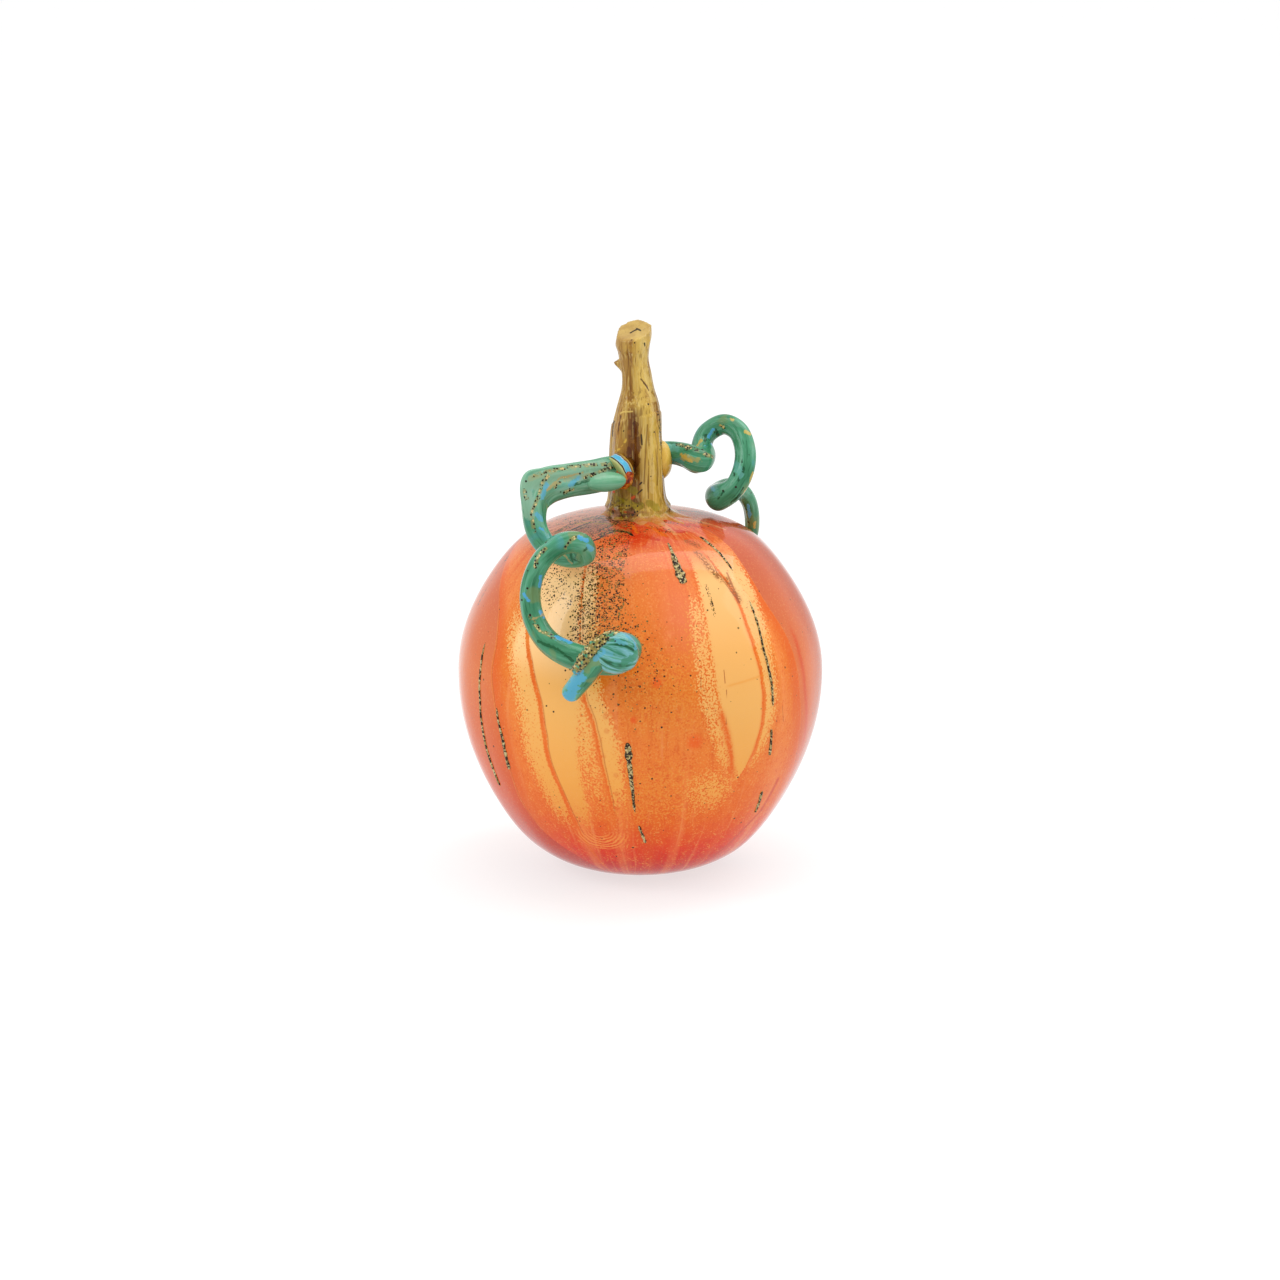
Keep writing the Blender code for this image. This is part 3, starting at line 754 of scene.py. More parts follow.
def distance_group():
    """A node group, made once: the distance in mm from a place to the line that starts at Start and
    runs along Line, with Share the inverse of the line's squared length."""
    name = "distance_to_line"
    if name in bpy.data.node_groups:
        return bpy.data.node_groups[name]
    group = bpy.data.node_groups.new(name, "ShaderNodeTree")
    for key in ("Place", "Start", "Line", "Flatten"):
        group.interface.new_socket(key, in_out="INPUT", socket_type="NodeSocketVector")
    group.interface.new_socket("Share", in_out="INPUT", socket_type="NodeSocketFloat")
    group.interface.new_socket("Distance", in_out="OUTPUT", socket_type="NodeSocketFloat")
    g = Graph.__new__(Graph)
    g.tree = group
    given = group.nodes.new("NodeGroupInput").outputs
    away = g.vector("MULTIPLY", g.vector("SUBTRACT", given["Place"], given["Start"]), given["Flatten"])
    dot = g.node("VectorMath", {0: away, 1: given["Line"]}, operation="DOT_PRODUCT").outputs["Value"]
    share = g.math("MINIMUM", g.math("MAXIMUM", g.times(dot, given["Share"]), 0.0), 1.0)
    on_line = g.node("VectorMath", {0: given["Line"], "Scale": share}, operation="SCALE").outputs[0]
    length = g.size(g.vector("SUBTRACT", away, on_line))
    result = group.nodes.new("NodeGroupOutput")
    g.plug(result.inputs[0], length)
    return group


def rgb(text):
    """Linear colour from a six-digit hex value."""
    values = [int(text[i:i + 2], 16) / 255 for i in (0, 2, 4)]
    return tuple(v / 12.92 if v <= 0.04045 else ((v + 0.055) / 1.055) ** 2.4 for v in values)


def glass(text):
    """Colour of glass that looks like the hex value once its gloss has added some white."""
    return tuple(max((v - GLOSS_WHITE) * GLASS_GAIN, DARKEST_GLASS) for v in rgb(text))


def linear(colour):
    """Four linear values from a hex text for glass, or from three linear values."""
    return (*(glass(colour) if isinstance(colour, str) else colour), 1.0)


# Body pattern. Tracks are rows of (azimuth in degrees, height in mm) along the optic ribs.
RIB_FAR_LEFT = (
    (-81, 132), (-72, 126), (-58, 112), (-53, 89), (-49.3, 70), (-48.8, 53), (-44, 28), (-36, 19),
)
RIB_LEFT = (
    (-46, 125), (-40.4, 108), (-34, 90), (-31.3, 78), (-30, 60), (-27, 47), (-23.7, 27), (-18, 6),
)
RIB_MIDDLE = ((-24, 130), (-20.4, 111), (-18, 92), (-14, 78), (-11.5, 57), (-9.9, 40))
WINDOW_EDGE = ((-24, 125), (-20, 103), (-19, 80), (-19.5, 54), (-16, 28))
RIB_STREAK = ((23, 110), (23, 92), (24.5, 84), (28, 70), (31, 57))
RIB_RIGHT = ((33, 142), (38.4, 126), (39.7, 109), (41, 96), (41, 85), (38, 62), (30, 44))
BAND_RIGHT_EDGE = ((49, 130), (47, 118), (45, 99), (44, 84), (42, 67), (36.7, 53), (29, 41))
RIB_FAR_RIGHT = (
    (53.5, 137), (52.6, 122), (55, 114), (57.8, 97), (58.8, 87), (60.6, 70), (64.5, 52), (69, 37),
)
RIM_LINE = ((61, 103), (62.7, 83), (65, 71), (68, 60))
# The back: ribs and amber bands at azimuths from the middle of the back, in degrees
REAR_RIBS = (-72, -47, -21, 8, 33, 61, 84)
REAR_BANDS = ((-69, -52, 0.9), (-44, -24, 1.0), (-18, -6, 0.5), (12, 31, 1.0), (36, 52, 0.7))

FINE_LINES = (
    ((-31.4, 134.7), (-25.2, 118)), ((-19, 141.2), (-17.3, 130.6), (-15.9, 118)),
    ((19.9, 92), (20, 75.3)), ((27.4, 91), (27.1, 77.2)), ((40.4, 81.3), (41.2, 74)),
    ((19.1, 97.1), (18.9, 92.5)), ((27.2, 98.8), (27.1, 93.8)), ((49.4, 79.9), (50.4, 73.3)),
    ((35.6, 139), (35.5, 133.2), (38.4, 125.8), (40.2, 121.9)),
)
SMOKE_PATCHES = (
    ((31, 140.5), (33, 135), (36, 131)), ((38.5, 130.5), (40.3, 123)), ((30.5, 143.8), (34.5, 142.2)),
)
BROWN_STROKES = (((40.5, 132.6), (40.1, 128.4), (39.9, 122.3)),)
SPECKLED_LINES = (
    ((28.2, 129.8), (27.9, 119.1)), ((-31.5, 144.1), (-32.2, 146.1), (-16.9, 146.3)),
    ((-65.6, 143.5), (-65.2, 145.8), (-69, 147.9)), ((-104.8, 143.3), (-104.6, 146.4), (-102.5, 147.8)),
    ((-80, 113), (-82, 132)), ((-10.1, 141.2), (-9.6, 138)), ((-9.8, 131), (-9.1, 128)),
    ((19.6, 146.4), (25.9, 146.3)), ((150, 142), (158, 126)), ((-140, 140), (-134, 118)),
)
# Marks on the crown: colour, radius in mm, strength, and lines of places in mm
CROWN_MARKS = (
    ("c2400e", 2.2, 0.9, (
        ((4, -13, 149), (12, -14, 148.4), (19, -18, 147)), ((11, -13, 148.5), (25, -17, 146.2)),
        ((3, -23, 147.5), (9, -26, 146.7), (17, -25, 146)), ((0, -31, 146), (7, -34, 144.8)),
        ((-8, -20, 148), (-3, -28, 146.5)), ((20, 20, 147), (30, 26, 143)),
        ((-22, 24, 146), (-30, 34, 142)))),
    ("dd9a66", 1.6, 0.6, (
        ((14, -8, 148.6), (26, -10, 146.6), (34, -12, 144)), ((8, -17, 148.4), (14, -28, 145.6)))),
    ("d86a2c", 1.4, 0.7, (
        ((6, -16, 148.6), (16, -21, 146.8)), ((14, -12, 148.3), (27, -14, 146.2)),
        ((2, -20, 148), (10, -31, 145.2)), ((-4, -18, 148.3), (-1, -29, 146.4)))),
    ("1c0c04", 1, 1, (
        ((-16, -30, 145.2), (-10, -26, 147), (-5, -28, 146.5), (-3, -31, 145.9)),
        ((-30, -20, 144.5), (-20, -13, 147.3)), ((-22, -34, 142.7), (-14, -30, 145.4)),
        ((-15, -12, 148.4), (-9, -15, 148.6)), ((-20, -9, 147.6), (-13, -10, 148.6)))),
    ("b08a34", 1.2, 0.8, (
        ((-18, -16, 147.4), (-10, -18, 148.2)), ((-26, -12, 146.2), (-16, -14, 148)))),
)
# Lines of crushed black glass on the crown, in mm
CRUSHED_LINES = (
    ((-18, -9, 148), (-14.5, -5, 148.6)), ((-13, -8, 148.7), (-8.5, -13.5, 148.6), (-2, -16, 148.5)),
    ((-17, -29, 145.3), (-11.5, -24.5, 146.8), (-5, -27.5, 146.5)),
    ((-34, -16, 144), (-24, -9, 146.8), (-17, -5, 148.2)),
    ((-24, -33, 142.4), (-16, -24, 146.2), (-9, -17, 148.4)), ((-34, -27, 141), (-22, -17, 146)),
    ((13, 4, 148.6), (24, 8, 146.9)),
)
LOW_RED_ARC = (((56, 46), (54, 32.2), (48.3, 25.1), (44.9, 20), (40, 14)),)
REDDISH_SPOTS = ((16.9, 71.2, 4.4), (5.2, 95.8, 3.0), (-2, 81, 2.0), (150, 92, 4.0), (-128, 60, 3.6))
SWIRL_MIDDLE = (-15.5, 30.5)


def on_body(azimuth, height):
    """A place on the body in mm, from an azimuth in degrees and a height in mm."""
    a = math.radians(azimuth)
    radius = body_radius(min(height, 149.1) * MM) / MM
    return Vector((math.sin(a) * radius, -math.cos(a) * radius, height))


def body_lines(lines):
    return [[on_body(*point) for point in line] for line in lines]


class Body(Graph):
    """The coordinates that the body's pattern is drawn in."""

    def __init__(self):
        super().__init__("amber_orange_glass")
        self.at = self.place()
        x, y, z = self.xyz(self.at)
        wobble = self.times(self.less(self.noise(self.at, 45, 2), 0.5), 3.0)
        degrees = math.degrees(1)
        front = self.times(self.math("ARCTAN2", x, self.times(y, -1.0)), degrees)
        rear = self.times(self.math("ARCTAN2", self.times(x, -1.0), y), degrees)
        self.azimuth = self.add(front, wobble)
        self.rear = self.add(rear, wobble)
        self.height = self.times(z, 1000.0)
        self.grain = self.noise(self.at, 1300, 1.0, 0.6)
        self.mottle = self.noise(self.at, 260, 3.0, 0.6)

    def beside(self, track):
        """Degrees to the right of a rib."""
        return self.less(self.azimuth, self.track(self.height, track))

    def spot(self, azimuth, width, height, tall):
        """A soft spot round an azimuth in degrees and a height in mm."""
        return self.times(self.bell(self.azimuth, azimuth, width), self.bell(self.height, height, tall))

    def dither(self, mask, powder=1.0):
        """A soft mask broken up into grains of powder, more so with a larger amount."""
        noisy = self.add(mask, self.times(self.less(self.grain, 0.5), 2.6 * powder))
        broken = self.steps(noisy, 0.30, 0.70)
        return self.times(broken, self.steps(mask, 0.0, 0.35))


def amber_bands(b):
    """The clear amber windows between the ribs: even parts and powdery edges."""
    height = b.height
    left, middle = b.beside(RIB_LEFT), b.beside(RIB_MIDDLE)
    rib_right, edge = b.beside(RIB_RIGHT), b.beside(BAND_RIGHT_EDGE)
    streak = b.beside(RIB_STREAK)
    far = b.times(b.steps(left, -13, -3.5), b.steps(left, -0.4, -1.2), b.span(height, 46, 106, 20))
    edge_left = b.beside(WINDOW_EDGE)
    clear = b.times(b.steps(left, 0.4, 1.4), b.steps(edge_left, 3.5, -2.5), b.steps(height, 18, 52))
    beyond = b.times(b.steps(edge_left, -3.0, 2.0), b.steps(middle, 0.4, -3.0),
                     b.steps(height, 22, 84), 0.8)
    slim = b.times(b.steps(middle, -0.2, 0.8), b.steps(middle, 9.0, 3.0), b.span(height, 56, 130, 22))
    right = b.times(b.steps(streak, -2.0, 3.0), b.steps(rib_right, 0.2, -0.6), b.steps(height, 34, 66))
    outer = b.times(b.steps(rib_right, 0.6, 1.6), b.steps(edge, 6.0, -2.0),
                    b.steps(height, 36, 76), 0.85)
    inner = b.times(b.steps(streak, -8.0, -3.0), b.steps(streak, 2.0, -1.0),
                    b.span(height, 64, 118, 14), 0.6)
    low = b.times(b.spot(24, 8, 48, 9), 0.75)
    mask = b.most(b.dither(far, 1.1), b.dither(clear, 0.55), b.dither(slim, 1.0), b.dither(beyond, 1.1),
                  b.dither(right, 0.5), b.dither(outer, 0.7), b.dither(inner, 1.0), b.dither(low, 1.3))
    lean = b.times(b.less(height, 80), 0.08)
    for start, end, strength in REAR_BANDS:
        place = b.add(b.rear, lean)
        soft = b.times(b.steps(place, start, start + 2), b.steps(place, end, end - 9),
                       b.span(height, 56, 116, 28), strength)
        mask = b.most(mask, b.dither(soft, 0.8))
    return b.times(mask, b.steps(height, 144, 130))


def rib_lines(b):
    """The deeper orange lines along the ribs."""
    def line(track, width, low, high, strength):
        return b.times(b.bell(b.beside(track), 0.0, width), b.span(b.height, low, high, 6), strength)
    mask = b.most(line(RIB_LEFT, 0.65, 8, 104, 0.75), line(RIB_MIDDLE, 0.6, 36, 92, 0.65))
    mask = b.most(mask, line(RIB_STREAK, 1.2, 58, 80, 0.9), line(RIB_RIGHT, 0.6, 62, 122, 0.7))
    lean = b.times(b.less(b.height, 80), 0.08)
    for azimuth in REAR_RIBS:
        rib = b.times(b.bell(b.add(b.rear, lean), azimuth, 1.3), b.span(b.height, 20, 112, 20), 0.8)
        mask = b.most(mask, rib)
    return mask


def body_colour(b):
    height, azimuth, mottle = b.height, b.azimuth, b.mottle
    # Darker red towards the bottom: partly thicker glass, partly painted shade where the body sits on
    # the floor. Darker towards the crown: painted shade that offsets the overhead softbox.
    share = b.math("DIVIDE", b.add(height, b.times(b.less(mottle, 0.5), 14.0)), CURVE_TOP)
    colour = b.ramp(share, [(z / CURVE_TOP, text) for z, text in (
        (2, "b01200"), (9, "cc2200"), (20, "e64610"), (36, "ec7030"), (54, "f07f3c"), (75, "f28840"),
        (92, "ee8236"), (110, "f0883a"), (128, "ee8544"), (142, "e0784a"), (149, "cc6c4a"))])
    drawn = b.join(b.times(azimuth, 0.30), b.times(height, 0.018), 0.0)
    broad, narrow = b.noise(drawn, 0.35, 2, 0.5, 0.3), b.noise(drawn, 1.1, 2, 0.6, 0.2)
    colour = b.coat(colour, "fb9a5c", b.steps(broad, 0.5, 0.75), 0.5)
    colour = b.coat(colour, "e0641c", b.steps(broad, 0.48, 0.28), 0.5)
    colour = b.coat(colour, "f9a768", b.steps(narrow, 0.56, 0.72), 0.35)
    colour = b.coat(colour, "dc5a20", b.steps(narrow, 0.42, 0.28), 0.4)
    speck = b.times(b.steps(b.grain, 0.54, 0.66), b.steps(b.mottle, 0.42, 0.66), 0.6)
    colour = b.coat(colour, "f7a04c", speck)
    dark_speck = b.times(b.steps(b.grain, 0.46, 0.36), b.steps(b.mottle, 0.6, 0.4), 0.45)
    colour = b.coat(colour, "dc5622", dark_speck)
    # Painted reflection: a pinkish salmon patch on the upper front, where the overhead softbox reflects.
    salmon_reflection = b.spot(15, 9, 120, 16)
    colour = b.coat(colour, "f0845e", salmon_reflection, 0.75)
    golden = b.times(b.spot(2, 14, 104, 20), b.steps(mottle, 0.3, 0.65))
    colour = b.coat(colour, "e06a16", golden, 0.7)
    powdery = b.most(b.spot(8, 14, 90, 17),
                     b.spot(22, 7, 106, 18),
                     b.spot(2, 22, 50, 16))
    colour = b.coat(colour, "f0923e", b.dither(b.times(powdery, 0.60), 1.5), 0.7)
    # Towards the sides, first a sharp deep-orange edge, then pinker glass
    far_left, far_right = b.beside(RIB_FAR_LEFT), b.beside(RIB_FAR_RIGHT)
    deep_left = b.times(b.steps(far_left, 0.0, 0.8), b.steps(far_left, 9.0, 1.0))
    deep_right = b.times(b.steps(far_right, -9.0, -0.5), b.steps(far_right, 0.3, -0.5))
    body_part = b.span(height, 30, 128, 14)
    colour = b.coat(colour, "e4661e", b.most(deep_left, deep_right), body_part, 0.85)
    outside = b.times(b.most(b.times(b.steps(far_left, 0.2, -0.4), b.steps(azimuth, -112, -92)),
                             b.times(b.steps(far_right, -0.3, 0.3), b.steps(azimuth, 112, 92))), 0.9)
    colour = b.mix(outside, colour, b.ramp(b.math("DIVIDE", height, CURVE_TOP), [
        (0.03, "b82a04"), (0.25, "d85424"), (0.6, "e07846"), (0.9, "c8644a")]))
    # Painted shade: the right limb is darkened.
    right_limb_shade = b.times(b.steps(azimuth, 64, 84), b.steps(azimuth, 112, 96),
                         b.span(height, 30, 140, 14))
    colour = b.coat(colour, "b04a2a", right_limb_shade, 0.75)
    # Amber of the windows, lighter towards the top; the upper part is partly painted light that lifts
    # the shade the left tendril casts there.
    amber = b.ramp(b.math("DIVIDE", height, CURVE_TOP), [
        (0.15, "ee9040"), (0.35, "f6ac56"), (0.55, "f8b968"), (0.7, "f8b96c"), (0.85, "fac27e")])
    # Painted reflection: a pale patch where a softbox reflects in the upper left window.
    painted_reflection = b.times(b.span(azimuth, -40, -27, 1.0), b.span(height, 112, 130, 2.0), 0.75)
    amber = b.mix(painted_reflection, amber, "ffd298")
    # Painted light: the upper left window is brightened to lift the shade the left tendril casts on it.
    painted_glow = b.times(b.span(azimuth, -44, -20, 3.0), b.span(height, 108, 136, 16.0))
    amber = b.mix(b.times(painted_glow, 0.7), amber, rgb("ffd094"))
    colour = b.mix(amber_bands(b), colour, amber)
    colour = b.coat(colour, "ea6a2c", rib_lines(b), 0.9)
    crease = b.most(b.times(b.bell(b.beside(RIB_LEFT), 1.1, 0.22), b.span(height, 30, 100, 8)),
                    b.times(b.bell(b.beside(RIB_MIDDLE), 1.0, 0.22), b.span(height, 44, 118, 8)),
                    b.times(b.bell(far_left, 0.4, 0.25), b.span(height, 30, 120, 8)))
    colour = b.coat(colour, "b5501c", crease, 0.55)
    rim = b.times(b.bell(b.beside(RIM_LINE), 0.0, 1.3), b.span(height, 60, 102, 10))
    colour = b.coat(colour, "d9542e", rim, 0.8)
    return colour


def crown_colour(b, colour):
    """Streaks drawn out from the stem: mauve and smoky on the left, red orange on the right."""
    height, azimuth = b.height, b.azimuth
    combed = b.noise(b.join(b.times(azimuth, 0.05), b.times(height, 0.02), 0.0), 14, 3, 0.6)
    left = b.times(b.steps(height, 134, 144),
                   b.most(b.steps(azimuth, -26, -44), b.steps(azimuth, 110, 150)))
    mauve = b.ramp(combed, [(0.3, "8e5644"), (0.45, "b4705a"), (0.6, "cc8a6c"),
                            (0.7, "b4783e")])
    colour = b.mix(b.times(left, 0.85), colour, mauve)
    right = b.times(b.steps(height, 140, 146), b.span(azimuth, -14, 120, 14),
                    b.steps(combed, 0.42, 0.55))
    colour = b.coat(colour, "d04a12", right, 0.75)
    grey = b.times(b.steps(height, 145.5, 147.5), b.span(azimuth, 62, 140, 12),
                   b.steps(b.grain, 0.40, 0.56))
    colour = b.coat(colour, "b88a6a", grey, 0.7)
    deep = b.times(b.bell(azimuth, -4, 13), b.steps(height, 141, 145), b.steps(b.mottle, 0.30, 0.45))
    colour = b.coat(colour, "c8420a", deep, 0.9)
    return b.draw(colour, b.at, CROWN_MARKS + (("2a1810", 0.6, 0.85, CRUSHED_LINES),))


def body_marks(b, colour):
    """Spots, bubbles, swirl, smoke and fine lines."""
    for azimuth, height, radius in REDDISH_SPOTS:
        spot = on_body(azimuth, height)
        mask = b.strokes(b.at, ((spot, spot + Vector((0, 0, 0.1))),), radius, 0.7)
        colour = b.coat(colour, "f2602c", mask, 0.7)
    bubble, chance = b.cells(b.at, 240)
    zone = b.times(b.span(b.azimuth, -10, 16, 6), b.span(b.height, 38, 84, 8),
                   b.steps(chance, 0.45, 0.5))
    colour = b.coat(colour, "dc5a26", zone, b.steps(bubble, 0.42, 0.25), 0.3)
    ring = b.vector("SUBTRACT", b.at, tuple(on_body(*SWIRL_MIDDLE) * MM))
    reach = b.size(ring)
    waves = b.steps(b.math("SINE", b.times(b.add(reach, b.times(b.mottle, 2.0)), TAU / 1.5)), -0.6, 0.9)
    under = b.times(b.span(reach, 4.0, 10.5, 2.0), b.steps(b.height, 32, 26), 0.85)
    colour = b.coat(colour, "fa9e50", under, waves)
    colour = b.coat(colour, "cf4426", b.strokes(b.at, body_lines(LOW_RED_ARC), 1.8, 0.9), 0.7)
    smoke = b.times(b.strokes(b.at, body_lines(SMOKE_PATCHES), 2.6, 0.9), b.steps(b.grain, 0.35, 0.6))
    colour = b.coat(colour, "8a4e16", smoke, 0.9)
    brown = b.strokes(b.at, body_lines(BROWN_STROKES), 0.7, 0.6)
    colour = b.coat(colour, "a4561c", brown, 0.7)
    fine = b.strokes(b.at, body_lines(FINE_LINES), 0.32, 0.7)
    colour = b.coat(colour, "a34a18", fine, 0.75)
    sloping = b.add(b.times(b.azimuth, 0.1385), 88.64)
    line = b.times(b.span(b.azimuth, 29, 42, 3), b.bell(b.height, sloping, 0.5))
    return b.mix(b.times(line, 0.35), colour, "ee9030")


def fleck_mask(b):
    """Dark powder flecks: thick at the upper front left, thin over the middle, and along lines."""
    azimuth, height = b.azimuth, b.height
    clump = b.steps(b.mottle, 0.30, 0.60, 0.45, 1.0)
    thick = b.times(b.span(azimuth, -22, -9, 5), b.span(height, 112, 146, 9), 0.85)
    wide = b.times(b.span(azimuth, -42, -8, 5), b.span(height, 126, 145, 7), 0.42)
    below = b.times(b.spot(-8, 8, 109, 9), 0.75)
    thin = b.times(b.spot(-1, 12, 98, 12), 0.14)
    crown = b.times(b.steps(height, 138, 147), b.steps(azimuth, -8, -30),
                    b.steps(b.mottle, 0.42, 0.6), 0.7)
    around = b.times(b.steps(height, 145, 147.5), b.steps(b.mottle, 0.45, 0.6), 0.35)
    lines = b.times(b.strokes(b.at, body_lines(SPECKLED_LINES), 0.9, 0.5), 1.4)
    lines = b.most(lines, b.times(b.strokes(b.at, CRUSHED_LINES, 2.4, 0.8), 2.4))
    density = b.times(b.most(thick, wide, below, thin, crown, around, lines), clump)
    share = b.add(b.times(density, 0.75), 0.002)
    mask = 0.0
    for scale, size in ((1050, 0.46), (1700, 0.44)):
        near, chance = b.cells(b.at, scale)
        flecks = b.times(b.steps(near, size + 0.06, size - 0.06), b.math("LESS_THAN", chance, share))
        mask = b.most(mask, flecks)
    return mask


def body_material():
    b = Body()
    colour = body_marks(b, crown_colour(b, body_colour(b)))
    colour = b.coat(colour, "f6b878", b.steps(b.grain, 0.56, 0.72), 0.18)
    flecks = fleck_mask(b)
    gold = b.steps(b.noise(b.at, 700, 1), 0.52, 0.56)
    colour = b.mix(flecks, colour, b.mix(gold, rgb("2c1a0c"), rgb("7d6530")))
    roughness = b.steps(b.mottle, 0.3, 0.7, 0.05, 0.11)
    return b.finish(colour, roughness, b.noise(b.at, 120, 2), 0.12)


# Stem colours: azimuth and half width in degrees, lower and upper height in mm, colour and strength
STEM_TINTS = (
    (-60, 30, 186, 222, "a8814f", 0.75), (12, 22, 190, 224, "e2c068", 0.7),
    (-10, 18, 164, 190, "6c4014", 0.85), (-46, 14, 174, 190, "b4863e", 0.6),
    (36, 15, 152, 192, "d8b452", 0.75), (78, 15, 156, 215, "8f7344", 0.75),
    (-40, 26, 150, 164, "9c8430", 0.6), (-28, 12, 160, 178, "93632a", 0.6),
    (180, 40, 165, 215, "a37e3e", 0.5),
)
# Marks on the stem: colour, radius in mm, strength, and lines of places in mm
STEM_MARKS = (
    ("e0c47a", 1.6, 0.6, (
        ((1, -6, 221), (3, -5, 206), (5.5, -6, 196)), ((5, -10, 189), (5, -12, 173), (5, -12, 160)))),
    ("a8763c", 2.2, 0.5, (((-9, -8, 187), (-8, -10, 178)), ((-4, -12, 184), (-1, -12, 176)))),
    ("5e3812", 2, 0.7, (
        ((-2, -11, 187), (-1, -12, 178), (-2, -12, 168)), ((-4.5, -12, 177), (-4, -12, 168)))),
    ("e0c06c", 0.55, 0.8, (
        ((-11.3, -5, 186), (-10.5, -6, 188.6), (-9, -7, 190.6), (-6.5, -8, 192)),
        ((-6.5, -8, 192), (-3, -9, 192.3)), ((-5, -12, 186), (-2.2, -12, 180), (-0.6, -12, 176)))),
    ("dfb64e", 0.9, 0.9, (((-12, -8, 175.6), (-8, -12, 177), (-5.5, -12, 181)),)),
    ("b98a3a", 0.8, 0.9, (((-5, -12, 172.6), (-2.4, -12, 168), (-3.6, -12, 164), (-7, -12, 162)),)),
    ("4e2e0e", 0.7, 0.85, (
        ((-6, -8, 216), (-5.5, -8, 205), (-5, -8, 199)), ((1, -7, 207), (3.5, -6, 203), (6.5, -5, 197)),
        ((0.5, -7, 205), (4, -5, 200)), ((-8, -8, 190), (-9.5, -10, 181)))),
    ("6e4a1c", 0.5, 0.6, (
        ((3, -10, 187), (2.2, -11, 175), (1.6, -12, 163)), ((5.5, -10, 190), (4.8, -12, 166)),
        ((7, -8, 188), (7, -9, 162)), ((3.6, -12, 180), (3.4, -12, 157)))),
    ("9a8a2c", 2.4, 0.7, (
        ((-9, -10, 156), (0, -13, 154)), ((4, -12, 155), (7, -12, 153)),
        ((-4, -12, 161), (-2, -12, 160)))),
    ("33200c", 0.6, 0.9, (
        ((-5, -13, 159.5), (-1.5, -13, 161), (0.6, -12, 163.5)), ((-9, -11, 153.5), (-5, -14, 152.5)),
        ((-6.5, -13, 156.5), (-2, -13, 158), (0.8, -12, 160.5)),
        ((-7.5, -13, 154.6), (-3, -13.5, 155), (0.5, -13, 157.4)))),
    ("dd5426", 1.1, 0.9, (
        ((-11, -8, 159), (-11, -8, 159.5)), ((-11.5, -10, 153), (-11, -11, 152)),
        ((-3, -12, 157), (-2.5, -12, 157.3)), ((-6, -14, 151.5), (-3, -14, 151.5)))),
    ("1c1208", 0.55, 0.9, (
        ((-4, -1, 223), (-1, 1, 224.2)), ((-2.4, 2, 225), (0.4, 0, 223.6)),
        ((-10.5, -2, 187), (-11, -3, 181)), ((-0.8, -4, 221), (1, -5, 219.6)),
        ((1.8, -6, 219.5), (2.5, -6, 217)), ((0.5, -11, 183), (0.8, -11, 179)))),
    ("1c1208", 1.5, 0.9, (((-11, -10, 150.5), (-7, -14, 149.8), (-3, -15, 150.5)),)),
)
STEM_SPECKS = (
    ((7, -4, 192), (8.6, -4, 182), (9, -4, 168), (9.4, -4, 157)), ((10.5, -4, 157), (12.5, -5, 151)),
)


def stem_material():
    """Honey, tan and brown streaks pulled along the shaft, melting into orange at the foot."""
    g = Graph("stem_gold_glass")
    g.depth = 0.35
    place = g.place()
    x, y, z = g.xyz(place)
    height = g.times(z, 1000.0)
    azimuth = g.times(g.math("ARCTAN2", g.add(x, 0.0012), g.times(y, -1.0)), math.degrees(1))
    twist = g.join(x, y, g.times(z, 0.07))
    broad = g.noise(twist, 230, 2, 0.5, 0.3)
    fine = g.noise(twist, 800, 2, 0.6)
    colour = g.ramp(broad, [(0.30, "85561f"), (0.42, "ab7f3a"), (0.52, "c9a24e"),
                            (0.66, "ddbb68")])
    colour = g.coat(colour, "7a4c1a", g.steps(fine, 0.54, 0.68), 0.65)
    colour = g.coat(colour, "e6cb7c", g.steps(fine, 0.44, 0.32), 0.45)
    hair = g.noise(g.join(x, y, g.times(z, 0.035)), 1500, 1)
    for where, width, low, high, text, strength in STEM_TINTS:
        colour = g.coat(colour, text, g.bell(azimuth, where, width),
                        g.span(height, low, high, 7), strength)
    shaft = g.steps(height, 221.0, 217.0)
    colour = g.coat(colour, "6a4418", g.steps(hair, 0.58, 0.66), shaft, 0.45)
    colour = g.coat(colour, "ecd488", g.steps(hair, 0.42, 0.34), shaft, 0.40)
    colour = g.coat(colour, "c2a466", g.steps(height, 219.5, 223.0, 0.0, 0.7))
    colour = g.draw(colour, place, STEM_MARKS)
    swirl = g.noise(place, 300, 2, 0.6, 1.5)
    low = g.times(g.steps(height, 162, 150), g.steps(azimuth, 30, -10), g.steps(azimuth, -110, -80))
    colour = g.coat(colour, "4a3212", low, g.steps(swirl, 0.50, 0.58), 0.85)
    colour = g.coat(colour, "c8a83c", low, g.steps(swirl, 0.44, 0.36), 0.6)
    reach = g.add(g.size(g.join(x, y, 0.0)), g.times(g.less(swirl, 0.5), 8.0))
    melt = g.times(g.steps(reach, 12.5, 17.5), g.steps(height, 153.5, 151.0))
    colour = g.mix(g.times(melt, 0.9), colour, g.mix(g.steps(swirl, 0.4, 0.6), "c4713a", "d08a58"))
    dot, chance = g.cells(place, 900)
    edge = g.strokes(place, STEM_SPECKS, 1.3, 0.7)
    share = g.most(g.times(edge, 0.6), g.times(low, 0.12), 0.004)
    specks = g.times(g.steps(dot, 0.45, 0.33), g.math("LESS_THAN", chance, share))
    colour = g.coat(colour, rgb("33220f"), specks)
    height = g.add(g.times(broad, 0.6), g.times(fine, 0.3))
    return g.finish(colour, g.steps(broad, 0.3, 0.7, 0.10, 0.2), height, 0.22)


